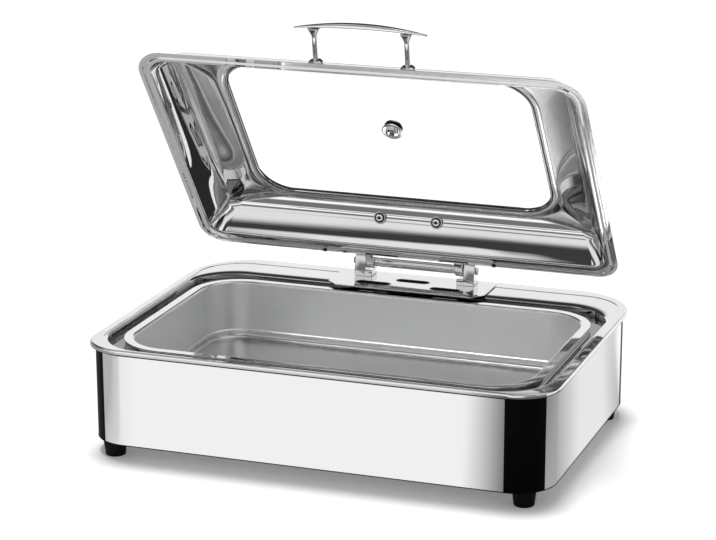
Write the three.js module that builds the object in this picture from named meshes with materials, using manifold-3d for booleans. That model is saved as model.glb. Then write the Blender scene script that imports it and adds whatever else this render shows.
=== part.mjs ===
// Electric chafing dish: a countertop food warmer with a lid that stays open on its hinge.
// Millimetres, +Z up, +X along the long side. The front faces -Y and the hinge is at the back.
// The lid is drawn shut, in a group on the hinge's axis, and that group is turned to its open place.

import * as THREE from 'three';
import { mergeVertices } from 'three/addons/utils/BufferGeometryUtils.js';
import Module from 'manifold-3d';

const wasm = await Module();
wasm.setup();

// Shared clearances and the fineness of round work
const seatGap = 0.3;
const cutOverrun = 2;
const cornerSteps = 6;
const smallCornerSteps = 3;
const turnedSteps = 12;
const largeTurnedSteps = 32;
const outlineSegments = 4;
const roundSegments = 8;
const leastRadius = 1;

// Body: the rim round its top, the panels under the rim, the feet
const rim = {
  width: 590, depth: 433, top: 141.8, band: 5.6, chamfer: 1.5, sheet: 1.5,
  frontRadius: 52, rearRadius: 85,
};
const panel = {
  inset: 5.2, frontRadius: 50, rearRadius: 80, sheet: 1.2, bottom: 19.8, wrapDegrees: 31,
  lipWidth: 12,
};
const post = { wall: 3, tongue: 8 };
const foot = {
  frontInX: 36, frontInY: 26.5, rearInX: 25, rearInY: 79.5, topRadius: 14.5, bottomRadius: 12.25, edge: 1.3,
  stemRadius: 8, screwHole: 2.6, recessRadius: 5.5, recessDepth: 5,
};
const footScrew = { headRadius: 4.8, headHeight: 3, reach: 4 };
const basePlate = {
  sheet: 1.5, slotLength: 60, slotWidth: 5, slotPitch: 16, slotCount: 5, slotX: 150,
};

// Pans: a full-size steel food pan hangs in the water pan, which hangs in the rim's groove
const foodPan = {
  length: 505, width: 300, centreY: -31.45, radius: 52, flange: 12.5, sheet: 1, flangeTop: 138.8,
  depth: 73, lipRound: 1.4, taper: 5, creaseDepth: 63, creaseStep: 1.8, creaseDrop: 0.8,
  floorRound: 11, floorKnee: 3.4,
};
const groove = { side: 14, rear: 17, depth: 9.8, radius: 62, floorRound: 1, holeMargin: 6 };
const waterPan = {
  sheet: 1.2, ridgeInset: 1, ridgeWidth: 9, taper: 2, floorTop: 46.2, floorRound: 6,
};

// Hinge: a seat plate on the rear deck, two posts, a pin and the lid's barrel
const hinge = {
  axisBack: 28.5, axisHeight: 20.2, pinRadius: 3, boreClearance: 0.3, headRadius: 4.6, headLength: 3,
  barrelRadius: 6, barrelHalf: 66.5, collarRadius: 5, collarLength: 11.5, grooveDepth: 0.8,
  grooveWidth: 1.5, grooveInset: 4,
};
const hingePost = {
  width: 15, knuckle: 9.5, front: 10, rear: 12, toe: 7, leanDegrees: 128, footWidth: 24, footHeight: 7.6,
};
const seatPlate = {
  halfWidth: 106, sheet: 1.5, rearMargin: 15, frontClearance: 0.5, bevel: 14,
  slotWidth: 5, slotY: 22, leftSlotX: -47, leftSlotLength: 46, rightSlotX: 51, rightSlotLength: 40,
  midSlotLength: 44, midSlotY: 44,
};

// Lid: a pressed dome with a glass window, open by 53.6 degrees as it stands
const lid = {
  openDegrees: 53.6, width: 565, depth: 362, behind: 36.55, seat: 2.1, sheet: 1.2,
  frontRadius: 40, rearRadius: 31, beadInset: 7.5, beadHalf: 2.2, beadRise: 1.8,
  sideStart: 15, frontStart: 15, rearStart: 19, leanDegrees: 28.4, shoulder: 29.5,
  shoulderRadius: 22, shoulderDegrees: 58, shoulderSteps: 3, height: 46.5,
  footFrontRadius: 26, footRearRadius: 20, topRadius: 15,
};
const glassWindow = {
  width: 387, depth: 233, back: 65, radius: 40, glassMargin: 3, glass: 4, rise: 16, flatEdge: 4,
  shellMargin: 4.6, sealMargin: 7, seal: 1.2, sealWall: 2.2, sealCap: 8.5, trimMargin: 12,
  trimSheet: 1, trimEdge: 0.6, seatMargin: 12.5,
};
const vent = {
  hole: 7, sleeve: 6.7, bore: 4.8, sealRadius: 12, sealSheet: 1.6, discRadius: 13.5,
  disc: 1.8, tierRadius: 8, tier: 3, tube: 4.5, tubeBore: 1.8, capRadius: 10.5, cap: 1.8,
};
const handle = {
  spacing: 116.6, rosetteRadius: 9.5, rosette: 3, rosetteTop: 7, postRadius: 3.4,
  postTop: 42.3, flareRadius: 8, flareLength: 8, barHalf: 84.6, barWidth: 10.5, barTipWidth: 3,
  barThickness: 6.8, barTipThickness: 2.2, barArch: 6.5, barSteps: 16, barSides: 12,
  screwRadius: 2, screwHeadRadius: 4.5, screwHead: 2.6, screwDepth: 10, socket: 1.4,
};
const bracket = {
  halfWidth: 60, sheet: 2.2, plateHalf: 12, tiltDegrees: 44, armWidth: 11, eyeRadius: 8.4,
  armHalf: 3, screwX: 38.2, screwRadius: 2.5, headRadius: 5.6, head: 2.2, washerRadius: 8,
  washer: 1,
};
const bumper = { radius: 3, inset: 3.6, leftGap: 3, rightGap: 8 };

// Heating: an aluminium plate under the water pan with a tubular element clamped below it
const heater = {
  length: 320, width: 190, plate: 4, radius: 20, tube: 3.3, loopHalfX: 132, loopHalfY: 68,
  loopRadius: 24, tailX: 14, tailLength: 34, tailRadius: 10, bendSteps: 5,
  tubeSides: 6, tubeSteps: 64,
};
const clamp = { width: 20, length: 14, wall: 2, side: 0.4 };
const support = { x: 95, width: 14, length: 120, sheet: 2, foot: 16 };
const cutout = { radius: 8, height: 7, capRadius: 5, cap: 4 };

// Controls on the rear panel
const controls = { centreX: 115, centreZ: 80, width: 156, height: 52, bezel: 3, radius: 8 };
const thermostat = {
  x: -44, width: 42, depth: 26, height: 34, bushRadius: 5, shaftRadius: 3, shaftOut: 14,
  shaftIn: 12, bushOut: 3,
};
const knob = {
  radius: 20, skirt: 3, gripRadius: 16, height: 18, round: 2, standOff: 1,
  pointerWidth: 2.4, pointerDepth: 0.8, flutes: 12, fluteRadius: 2,
};
const lamp = { x: 6, radius: 6.5, dome: 3, bodyRadius: 4.5, depth: 22, step: 1.5 };
const rocker = {
  x: 50, width: 20, height: 15, front: 4, back: 5, tiltDegrees: 10, pivot: 1.5, pivotReach: 1.2,
  clearance: 0.5, wall: 2.4, flange: 2, lip: 3, bodyDepth: 18,
};
const inlet = {
  x: -150, z: 66, width: 48, height: 26, flange: 3, radius: 4, bodyWidth: 28, bodyHeight: 22,
  depth: 24, cavityWidth: 24, cavityHeight: 17, cavityDepth: 17, pinWidth: 2, pinHeight: 4,
  pinLength: 14, pinPitch: 7, pinDrop: 2.4, backPlate: 2,
};

// Finishes of the pieces
const finishes = {
  polishedSteel: { color: 0xd8dadc, roughness: 0.1, metalness: 1 },
  satinSteel: { color: 0xb4b6b8, roughness: 0.34, metalness: 1 },
  blackPlastic: { color: 0x0b0b0c, roughness: 0.3, metalness: 0 },
  blackRubber: { color: 0x101011, roughness: 0.7, metalness: 0 },
  silicone: { color: 0x18191a, roughness: 0.6, metalness: 0 },
  glass: { color: 0xe9f0f0, roughness: 0.03, metalness: 0, transparent: true, opacity: 0.25 },
  aluminium: { color: 0xa9abad, roughness: 0.45, metalness: 1 },
  brass: { color: 0xc2a35a, roughness: 0.3, metalness: 1 },
  amberLens: { color: 0xd08422, roughness: 0.2, metalness: 0 },
  whitePlastic: { color: 0xd9d7cf, roughness: 0.5, metalness: 0 },
};

const degrees = Math.PI / 180;
const quarterTurn = Math.PI / 2;

// Solids and booleans

function solidOf(geometry) {
  const bare = new THREE.BufferGeometry();
  bare.setAttribute('position', geometry.attributes.position);
  if (geometry.index) {
    bare.setIndex(geometry.index);
  }
  const merged = mergeVertices(bare);
  const corners = [];
  for (let i = 0; i < merged.index.count; i += 3) {
    const [a, b, c] = [0, 1, 2].map((k) => merged.index.getX(i + k));
    if (a !== b && b !== c && c !== a) {
      corners.push(a, b, c);
    }
  }
  const position = merged.attributes.position;
  const a = new THREE.Vector3();
  const b = new THREE.Vector3();
  const c = new THREE.Vector3();
  let volume = 0;
  for (let i = 0; i < corners.length; i += 3) {
    a.fromBufferAttribute(position, corners[i]);
    b.fromBufferAttribute(position, corners[i + 1]);
    c.fromBufferAttribute(position, corners[i + 2]);
    volume += a.dot(b.cross(c));
  }
  if (volume < 0) {
    corners.reverse();
  }
  return new wasm.Manifold(new wasm.Mesh({
    numProp: 3,
    vertProperties: new Float32Array(position.array),
    triVerts: new Uint32Array(corners),
  }));
}

function geometryOf(solid) {
  const { vertProperties, triVerts } = solid.getMesh();
  const geometry = new THREE.BufferGeometry();
  geometry.setAttribute('position', new THREE.BufferAttribute(new Float32Array(vertProperties), 3));
  geometry.setIndex(new THREE.BufferAttribute(new Uint32Array(triVerts), 1));
  return geometry.toNonIndexed();
}

function cut(geometry, ...tools) {
  return geometryOf(tools.reduce((left, tool) => left.subtract(solidOf(tool)), solidOf(geometry)));
}

function join(geometry, ...others) {
  return geometryOf(others.reduce((left, other) => left.add(solidOf(other)), solidOf(geometry)));
}

// Outlines and lofts

function grown(shape, by) {
  return {
    halfWidth: shape.halfWidth + by,
    front: shape.front - by,
    rear: shape.rear + by,
    frontRadius: Math.max(shape.frontRadius + by, leastRadius),
    rearRadius: Math.max(shape.rearRadius + by, leastRadius),
  };
}

function between(from, to, share) {
  const mixed = {};
  for (const key of Object.keys(from)) {
    mixed[key] = from[key] + (to[key] - from[key]) * share;
  }
  return mixed;
}

// A rounded rectangle at one height, anticlockwise from the middle of the front right corner
function ring(shape, z, steps = cornerSteps) {
  const { halfWidth, front, rear, frontRadius, rearRadius } = shape;
  const right = halfWidth - frontRadius;
  const rightRear = halfWidth - rearRadius;
  const corners = [
    { x: right, y: front + frontRadius, radius: frontRadius },
    { x: rightRear, y: rear - rearRadius, radius: rearRadius },
    { x: -rightRear, y: rear - rearRadius, radius: rearRadius },
    { x: -right, y: front + frontRadius, radius: frontRadius },
  ];
  const points = [];
  corners.forEach(({ x, y, radius }, turn) => {
    for (let step = 0; step <= steps; step += 1) {
      const angle = quarterTurn * (turn - 1 + step / steps);
      points.push(new THREE.Vector3(x + radius * Math.cos(angle), y + radius * Math.sin(angle), z));
    }
  });
  return points;
}

// Skins a row of rings that all have as many points. A looped row closes on its first ring,
// and any other row has a flat cap at each end.
function loft(rings, looped) {
  const count = rings[0].length;
  const positions = rings.flat().flatMap((point) => point.toArray());
  const index = [];
  const last = looped ? rings.length : rings.length - 1;
  for (let row = 0; row < last; row += 1) {
    const low = row * count;
    const high = ((row + 1) % rings.length) * count;
    for (let i = 0; i < count; i += 1) {
      const next = (i + 1) % count;
      index.push(low + i, low + next, high + next, low + i, high + next, high + i);
    }
  }
  if (!looped) {
    const top = (rings.length - 1) * count;
    for (let i = 1; i < count - 1; i += 1) {
      index.push(0, i + 1, i, top, top + i, top + i + 1);
    }
  }
  const geometry = new THREE.BufferGeometry();
  geometry.setAttribute('position', new THREE.Float32BufferAttribute(positions, 3));
  geometry.setIndex(index);
  return geometry;
}

// Simple shapes

function slab(x, y, low, width, depth, height) {
  return new THREE.BoxGeometry(width, depth, height).translate(x, y, low + height / 2);
}

function platform(shape, low, high) {
  return loft([ring(shape, low, smallCornerSteps), ring(shape, high, smallCornerSteps)], false);
}

function plainShape(halfWidth, halfDepth, radius) {
  return { halfWidth, front: -halfDepth, rear: halfDepth, frontRadius: radius, rearRadius: radius };
}

// Turns a profile of radius and height about Z. A profile off the axis closes on itself.
function turned(profile, steps = turnedSteps) {
  const points = profile.map(([radius, height]) => new THREE.Vector2(radius, height));
  if (profile[0][0] > 0) {
    points.push(points[0].clone());
  }
  return new THREE.LatheGeometry(points, steps).rotateX(quarterTurn);
}

function rod(radius, low, high, steps = turnedSteps) {
  return turned([[0, low], [radius, low], [radius, high], [0, high]], steps);
}

// An outline in Y and Z, as thick as its width along X and centred at x
function sideways(shape, x, width) {
  const settings = { depth: width, bevelEnabled: false, curveSegments: roundSegments };
  const geometry = new THREE.ExtrudeGeometry(shape, settings);
  const alongX = new THREE.Matrix4().makeBasis(
    new THREE.Vector3(0, 1, 0),
    new THREE.Vector3(0, 0, 1),
    new THREE.Vector3(1, 0, 0),
  );
  return geometry.applyMatrix4(alongX).translate(x - width / 2, 0, 0);
}

function upright(shape, low, high) {
  const settings = { depth: high - low, bevelEnabled: false, curveSegments: outlineSegments };
  return new THREE.ExtrudeGeometry(shape, settings).translate(0, 0, low);
}

function along(path, radius, sides, steps) {
  const section = new THREE.Shape();
  section.absarc(0, 0, radius, 0, 2 * Math.PI, false);
  const settings = { extrudePath: path, steps, bevelEnabled: false, curveSegments: sides / 2 };
  return new THREE.ExtrudeGeometry(section, settings);
}

// Adding pieces: each goes through a solid, which turns its faces outward

const model = new THREE.Group();

function add(name, geometry, finish, parent = model) {
  const material = new THREE.MeshStandardMaterial(finishes[finish]);
  const mesh = new THREE.Mesh(geometryOf(solidOf(geometry)), material);
  mesh.name = name;
  parent.add(mesh);
  return mesh;
}

const sides = [['left', -1], ['right', 1]];

// Shapes that several pieces share

const rimShape = {
  halfWidth: rim.width / 2, front: -rim.depth / 2, rear: rim.depth / 2,
  frontRadius: rim.frontRadius, rearRadius: rim.rearRadius,
};
const deckUnder = rim.top - rim.sheet;
const panOpening = {
  halfWidth: foodPan.length / 2,
  front: foodPan.centreY - foodPan.width / 2,
  rear: foodPan.centreY + foodPan.width / 2,
  frontRadius: foodPan.radius,
  rearRadius: foodPan.radius,
};
const panFlange = grown(panOpening, foodPan.flange);
const deckOpening = {
  halfWidth: panFlange.halfWidth + groove.side,
  front: panFlange.front - groove.side,
  rear: panFlange.rear + groove.rear,
  frontRadius: groove.radius,
  rearRadius: groove.radius,
};
const grooveFloor = rim.top - groove.depth;
const bodyShape = {
  halfWidth: rim.width / 2 - panel.inset,
  front: -rim.depth / 2 + panel.inset,
  rear: rim.depth / 2 - panel.inset,
  frontRadius: panel.frontRadius, rearRadius: panel.rearRadius,
};
const panelTop = deckUnder - seatGap;

// Top frame: the polished rim, the deck and the groove that the water pan stands in
function topFrame() {
  const skirt = rim.top - rim.band;
  const hole = grown(panOpening, groove.holeMargin);
  const wallBack = grown(deckOpening, rim.sheet);
  return loft([
    ring(rimShape, skirt),
    ring(rimShape, rim.top - rim.chamfer),
    ring(grown(rimShape, -rim.chamfer), rim.top),
    ring(grown(deckOpening, rim.chamfer), rim.top),
    ring(deckOpening, rim.top - rim.chamfer),
    ring(deckOpening, grooveFloor + groove.floorRound),
    ring(grown(deckOpening, -groove.floorRound), grooveFloor),
    ring(hole, grooveFloor),
    ring(hole, grooveFloor - rim.sheet),
    ring(wallBack, grooveFloor - rim.sheet),
    ring(wallBack, deckUnder),
    ring(grown(rimShape, -rim.sheet), deckUnder),
    ring(grown(rimShape, -rim.sheet), skirt),
  ], true);
}
add('top_frame', topFrame(), 'polishedSteel');

// Food pan: flange, near-upright walls, a crease and a rounded foot to a flat floor
function foodPanBody() {
  const { sheet, flangeTop, lipRound, taper, creaseDepth, creaseStep, creaseDrop } = foodPan;
  const crease = flangeTop - creaseDepth;
  const floor = flangeTop - foodPan.depth;
  const foot = -taper - creaseStep;
  const inside = [
    ring(grown(panOpening, foot - foodPan.floorRound), floor),
    ring(grown(panOpening, foot - foodPan.floorKnee), floor + foodPan.floorKnee),
    ring(grown(panOpening, foot), crease - creaseDrop),
    ring(grown(panOpening, -taper), crease),
    ring(panOpening, flangeTop - lipRound),
    ring(grown(panOpening, lipRound), flangeTop),
  ];
  const outside = [
    ring(panFlange, flangeTop),
    ring(panFlange, flangeTop - sheet),
    ring(grown(panOpening, lipRound + sheet), flangeTop - sheet),
    ring(grown(panOpening, sheet), flangeTop - lipRound - sheet),
    ring(grown(panOpening, sheet - taper), crease - sheet),
    ring(grown(panOpening, sheet + foot), crease - creaseDrop - sheet),
    ring(grown(panOpening, foot - foodPan.floorKnee), floor + foodPan.floorKnee - sheet),
    ring(grown(panOpening, foot - foodPan.floorRound), floor - sheet),
  ];
  return loft([...inside, ...outside], false);
}
add('food_pan', foodPanBody(), 'satinSteel');

// Water pan: its folded edge stands on the groove's floor and carries the food pan's flange
const ridgeTop = foodPan.flangeTop - foodPan.sheet - seatGap;
const waterPanUnder = waterPan.floorTop - waterPan.sheet;
function waterPanBody() {
  const { sheet, ridgeInset, ridgeWidth, taper, floorTop, floorRound } = waterPan;
  const outer = foodPan.flange - ridgeInset;
  const inner = outer - ridgeWidth;
  const edge = grooveFloor + seatGap;
  return loft([
    ring(grown(panOpening, inner - taper - floorRound), floorTop),
    ring(grown(panOpening, inner - taper), floorTop + floorRound),
    ring(grown(panOpening, inner), ridgeTop),
    ring(grown(panOpening, outer), ridgeTop),
    ring(grown(panOpening, outer), edge),
    ring(grown(panOpening, outer - sheet), edge),
    ring(grown(panOpening, outer - sheet), ridgeTop - sheet),
    ring(grown(panOpening, inner + sheet), ridgeTop - sheet),
    ring(grown(panOpening, inner - taper + sheet), floorTop + floorRound),
    ring(grown(panOpening, inner - taper - floorRound), waterPanUnder),
  ], false);
}
add('water_pan', waterPanBody(), 'satinSteel');

// Panels: each wraps the corner at its left end and stops at the bend at its right end
const wrap = panel.wrapDegrees * degrees;
const { frontRadius, rearRadius } = panel;
const longFace = { halfLength: bodyShape.halfWidth, distance: bodyShape.rear };
const shortFace = { halfLength: bodyShape.rear, distance: bodyShape.halfWidth };
const panelFaces = [
  { name: 'front', ...longFace, from: frontRadius, to: frontRadius },
  { name: 'right', ...shortFace, from: frontRadius, to: rearRadius },
  { name: 'rear', ...longFace, from: rearRadius, to: rearRadius },
  { name: 'left', ...shortFace, from: rearRadius, to: frontRadius },
];

function panelSheet({ halfLength, distance, from, to }) {
  const { sheet, bottom, lipWidth } = panel;
  const left = from - halfLength;
  const right = halfLength - to;
  const outline = new THREE.Shape();
  outline.moveTo(left, sheet - distance);
  outline.lineTo(right, sheet - distance);
  outline.lineTo(right, -distance);
  outline.lineTo(left, -distance);
  outline.absarc(left, from - distance, from, -quarterTurn, -quarterTurn - wrap, true);
  outline.absarc(left, from - distance, from - sheet, -quarterTurn - wrap, -quarterTurn, false);
  const wall = upright(outline, bottom, panelTop);
  const lipDepth = lipWidth + sheet / 2;
  const lipLength = right - left - 2 * (post.tongue + seatGap);
  const lip = slab((left + right) / 2, (lipDepth + sheet) / 2 - distance, bottom, lipLength, lipDepth, sheet);
  return join(wall, lip);
}

const panels = {};
panelFaces.forEach((face, turns) => {
  panels[face.name] = panelSheet(face).rotateZ(turns * quarterTurn);
});

// Corner posts: black strips that fill each corner and hold the panel ends behind them. Beside
// the groove only the strip itself goes on up to the deck.
function cornerPost(radius) {
  const { sheet } = panel;
  const side = seatGap / radius;
  const from = Math.PI + side;
  const to = Math.PI + quarterTurn - wrap - side;
  const back = radius - sheet - seatGap;
  const inner = back - post.wall;
  const tongueEnd = to + post.tongue / back;
  const wallTop = grooveFloor - rim.sheet - seatGap;
  const whole = new THREE.Shape();
  whole.absarc(0, 0, radius, from, to, false);
  whole.absarc(0, 0, back, to, tongueEnd, false);
  whole.absarc(0, 0, inner, tongueEnd, Math.PI, true);
  whole.lineTo(-inner, post.tongue);
  whole.lineTo(-back, post.tongue);
  whole.lineTo(-back, 0);
  whole.lineTo(back * Math.cos(from), back * Math.sin(from));
  const relief = new THREE.Shape();
  relief.moveTo(sheet - radius, post.tongue + cutOverrun);
  relief.lineTo(sheet - radius, 0);
  relief.absarc(0, 0, radius - sheet, Math.PI, tongueEnd + side, false);
  relief.lineTo(0, 0);
  relief.lineTo(0, post.tongue + cutOverrun);
  return cut(upright(whole, panel.bottom, panelTop), upright(relief, wallTop, panelTop + cutOverrun));
}

const corners = ['front_left', 'front_right', 'rear_right', 'rear_left'];
panelFaces.forEach(({ halfLength, distance, from }, turns) => {
  const strip = cornerPost(from).translate(from - halfLength, from - distance, 0);
  add(`corner_post_${corners[turns]}`, strip.rotateZ(turns * quarterTurn), 'blackPlastic');
});

// Base plate: lies on the panels' lips, inside the posts, with slots for cooling air
const plateLow = panel.bottom + panel.sheet + seatGap;
const plateTop = plateLow + basePlate.sheet;
const plateInset = panel.sheet + seatGap + post.wall + seatGap;
const footPlaces = [];
for (const [side, sign] of sides) {
  footPlaces.push({
    name: `front_${side}`,
    x: sign * (rim.width / 2 - foot.frontInX),
    y: foot.frontInY - rim.depth / 2,
  });
  footPlaces.push({
    name: `rear_${side}`,
    x: sign * (rim.width / 2 - foot.rearInX),
    y: rim.depth / 2 - foot.rearInY,
  });
}

function basePlateBody() {
  const { slotLength, slotWidth, slotPitch, slotCount, slotX } = basePlate;
  const tools = footPlaces.map(({ x, y }) => rod(foot.screwHole, plateLow - cutOverrun, plateTop + cutOverrun)
    .translate(x, y, 0));
  const slot = plainShape(slotLength / 2, slotWidth / 2, slotWidth / 2);
  for (const [, sign] of sides) {
    for (let i = 0; i < slotCount; i += 1) {
      const y = slotPitch * (i - (slotCount - 1) / 2);
      tools.push(platform(slot, plateLow - cutOverrun, plateTop + cutOverrun).translate(sign * slotX, y, 0));
    }
  }
  const outline = grown(bodyShape, -plateInset);
  return cut(loft([ring(outline, plateLow), ring(outline, plateTop)], false), ...tools);
}
add('base_plate', basePlateBody(), 'satinSteel');

// Feet: each stem passes between the panel lips up to the base plate, and a screw holds it
function footBody() {
  const top = panel.bottom - seatGap;
  const stemTop = plateLow - seatGap;
  return turned([
    [foot.recessRadius, 0],
    [foot.bottomRadius - foot.edge, 0],
    [foot.bottomRadius, foot.edge],
    [foot.topRadius, top],
    [foot.stemRadius, top],
    [foot.stemRadius, stemTop],
    [foot.screwHole, stemTop],
    [foot.screwHole, foot.recessDepth],
    [foot.recessRadius, foot.recessDepth],
  ]);
}

function footScrewBody() {
  const headTop = foot.recessDepth - seatGap;
  const shank = foot.screwHole - seatGap;
  return turned([
    [0, headTop - footScrew.headHeight],
    [footScrew.headRadius, headTop - footScrew.headHeight],
    [footScrew.headRadius, headTop],
    [shank, headTop],
    [shank, plateTop + footScrew.reach],
    [0, plateTop + footScrew.reach],
  ]);
}

for (const { name, x, y } of footPlaces) {
  add(`foot_${name}`, footBody().translate(x, y, 0), 'blackRubber');
  add(`foot_screw_${name}`, footScrewBody().translate(x, y, 0), 'satinSteel');
}

// Heating: plate against the water pan, element loop, clamps, supports and safety cut-out
const heaterTop = waterPanUnder - seatGap;
const heaterUnder = heaterTop - heater.plate;
const tubeZ = heaterUnder - seatGap - heater.tube;
const heaterY = foodPan.centreY;

function bendPoints(x, y, radius, from, to) {
  const points = [];
  for (let step = 0; step <= heater.bendSteps; step += 1) {
    const angle = (from + (to - from) * (step / heater.bendSteps)) * degrees;
    points.push(new THREE.Vector3(x + radius * Math.cos(angle), y + radius * Math.sin(angle), 0));
  }
  return points;
}

function elementLoop() {
  const { loopHalfX, loopHalfY, loopRadius, tailX, tailLength, tailRadius, tube } = heater;
  const farX = loopHalfX - loopRadius;
  const farY = loopHalfY - loopRadius;
  const tailY = loopHalfY + tailRadius;
  const right = [
    new THREE.Vector3(tailX, loopHalfY + tailLength, 0),
    ...bendPoints(tailX + tailRadius, tailY, tailRadius, 180, 270),
    ...bendPoints(farX, farY, loopRadius, 90, 0),
    ...bendPoints(farX, -farY, loopRadius, 0, -90),
  ];
  const left = right.map((point) => new THREE.Vector3(-point.x, point.y, 0)).reverse();
  const path = new THREE.CurvePath();
  const points = [...right, ...left];
  for (let i = 1; i < points.length; i += 1) {
    path.add(new THREE.LineCurve3(points[i - 1], points[i]));
  }
  return along(path, tube, heater.tubeSides, heater.tubeSteps).translate(0, heaterY, tubeZ);
}
add('heating_element', elementLoop(), 'satinSteel');

const heaterShape = plainShape(heater.length / 2, heater.width / 2, heater.radius);
add('heating_plate', platform(heaterShape, heaterUnder, heaterTop).translate(0, heaterY, 0), 'aluminium');

function elementClamp() {
  const tunnelHalf = heater.tube + clamp.side;
  const low = tubeZ - heater.tube - seatGap;
  const high = heaterUnder - seatGap;
  const block = slab(0, 0, low - clamp.wall, clamp.width, clamp.length, high - low + clamp.wall);
  const tunnel = slab(0, 0, low, 2 * tunnelHalf, clamp.length + 2 * cutOverrun, high - low + cutOverrun);
  return cut(block, tunnel);
}

function plateSupport() {
  const low = plateTop + seatGap;
  const high = heaterUnder - seatGap;
  const outer = slab(0, 0, low, support.width, support.length, high - low);
  const under = slab(
    0,
    0,
    low - cutOverrun,
    support.width + 2 * cutOverrun,
    support.length - 2 * support.sheet,
    high - low - support.sheet + cutOverrun,
  );
  const feet = [-1, 1].map((sign) => slab(
    0,
    sign * (support.length + support.foot) / 2 - sign * support.sheet,
    low,
    support.width,
    support.foot,
    support.sheet,
  ));
  return join(cut(outer, under), ...feet);
}

for (const [side, sign] of sides) {
  add(`element_clamp_${side}`, elementClamp().translate(sign * heater.loopHalfX, heaterY, 0), 'satinSteel');
  add(`plate_support_${side}`, plateSupport().translate(sign * support.x, heaterY, 0), 'satinSteel');
}

const cutoutTop = heaterUnder - seatGap;
add('thermal_cutout', turned([
  [0, cutoutTop - cutout.height - cutout.cap],
  [cutout.capRadius, cutoutTop - cutout.height - cutout.cap],
  [cutout.capRadius, cutoutTop - cutout.height],
  [cutout.radius, cutoutTop - cutout.height],
  [cutout.radius, cutoutTop],
  [0, cutoutTop],
]).translate(0, heaterY, 0), 'blackPlastic');

// Rear panel and what is mounted on it. Depths are counted outward, along +Y, from its face.
const rearFace = bodyShape.rear;
const rearInside = rearFace - panel.sheet;
const bezelFace = rearFace + seatGap + controls.bezel;

function outward(geometry, x, z) {
  return geometry.rotateX(-quarterTurn).translate(x, 0, z);
}

function windowCut(x, z, width, height) {
  const deep = bezelFace - rearInside + 2 * cutOverrun;
  return new THREE.BoxGeometry(width, deep, height).translate(x, rearInside + deep / 2 - cutOverrun, z);
}

function boreCut(x, z, radius) {
  return outward(rod(radius, rearInside - cutOverrun, bezelFace + cutOverrun), x, z);
}

const thermostatX = controls.centreX + thermostat.x;
const lampX = controls.centreX + lamp.x;
const rockerX = controls.centreX + rocker.x;
const cavity = {
  width: rocker.width + 2 * rocker.clearance,
  height: 2 * (Math.hypot(rocker.height / 2, rocker.back) + rocker.clearance),
};
const switchBody = { width: cavity.width + 2 * rocker.wall, height: cavity.height + 2 * rocker.wall };
const switchHoles = windowCut(
  rockerX,
  controls.centreZ,
  switchBody.width + 2 * seatGap,
  switchBody.height + 2 * seatGap,
);
const bushHole = boreCut(thermostatX, controls.centreZ, thermostat.bushRadius + seatGap);
const lampHole = boreCut(lampX, controls.centreZ, lamp.bodyRadius + seatGap);
const inletHole = windowCut(inlet.x, inlet.z, inlet.bodyWidth + 2 * seatGap, inlet.bodyHeight + 2 * seatGap);
panels.rear = cut(panels.rear, switchHoles, bushHole, lampHole, inletHole);
for (const { name } of panelFaces) {
  add(`${name}_panel`, panels[name], 'polishedSteel');
}

const bezelShape = plainShape(controls.width / 2, controls.height / 2, controls.radius);
const bezel = outward(platform(bezelShape, rearFace + seatGap, bezelFace), controls.centreX, controls.centreZ);
add('control_bezel', cut(bezel, switchHoles, bushHole, lampHole), 'blackPlastic');

function thermostatBody() {
  const back = rearInside - seatGap - thermostat.depth;
  const block = slab(
    thermostatX,
    back + thermostat.depth / 2,
    controls.centreZ - thermostat.height / 2,
    thermostat.width,
    thermostat.depth,
    thermostat.height,
  );
  const mouth = rearFace + thermostat.bushOut;
  const bush = outward(
    rod(thermostat.bushRadius, back + thermostat.depth / 2, mouth),
    thermostatX,
    controls.centreZ,
  );
  const bore = outward(
    rod(thermostat.shaftRadius + seatGap, rearInside - thermostat.shaftIn - seatGap, mouth + cutOverrun),
    thermostatX,
    controls.centreZ,
  );
  return cut(join(block, bush), bore);
}
add('thermostat', thermostatBody(), 'whitePlastic');

const shaftTip = bezelFace + thermostat.shaftOut;
add('thermostat_shaft', outward(
  rod(thermostat.shaftRadius, rearInside - thermostat.shaftIn, shaftTip),
  thermostatX,
  controls.centreZ,
), 'satinSteel');

function knobBody() {
  const low = bezelFace + knob.standOff;
  const high = low + knob.height;
  let solid = turned([
    [0, low],
    [knob.radius, low],
    [knob.radius, low + knob.skirt],
    [knob.gripRadius, low + knob.skirt + knob.round],
    [knob.gripRadius, high - knob.round],
    [knob.gripRadius - knob.round, high],
    [0, high],
  ], largeTurnedSteps);
  const flutes = [];
  for (let i = 0; i < knob.flutes; i += 1) {
    const angle = (2 * Math.PI * (i + 1 / 2)) / knob.flutes;
    const reach = knob.gripRadius + knob.fluteRadius / 2;
    flutes.push(rod(knob.fluteRadius, low + knob.skirt + knob.round, high + cutOverrun, cornerSteps + 1)
      .translate(reach * Math.cos(angle), reach * Math.sin(angle), 0));
  }
  const pointer = slab(
    0,
    knob.gripRadius / 2,
    high - knob.pointerDepth,
    knob.pointerWidth,
    knob.gripRadius + cutOverrun,
    knob.pointerDepth + cutOverrun,
  );
  const bore = rod(thermostat.shaftRadius + seatGap, low - cutOverrun, shaftTip + seatGap);
  solid = cut(solid, bore, pointer, ...flutes);
  return outward(solid, thermostatX, controls.centreZ);
}
add('temperature_knob', knobBody(), 'blackPlastic');

add('indicator_lamp', outward(turned([
  [0, rearInside - lamp.depth],
  [lamp.bodyRadius, rearInside - lamp.depth],
  [lamp.bodyRadius, bezelFace + seatGap],
  [lamp.radius, bezelFace + seatGap],
  [lamp.radius, bezelFace + seatGap + lamp.step],
  [lamp.bodyRadius, bezelFace + seatGap + lamp.dome],
  [0, bezelFace + seatGap + lamp.dome + lamp.step],
]), lampX, controls.centreZ), 'amberLens');

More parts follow.
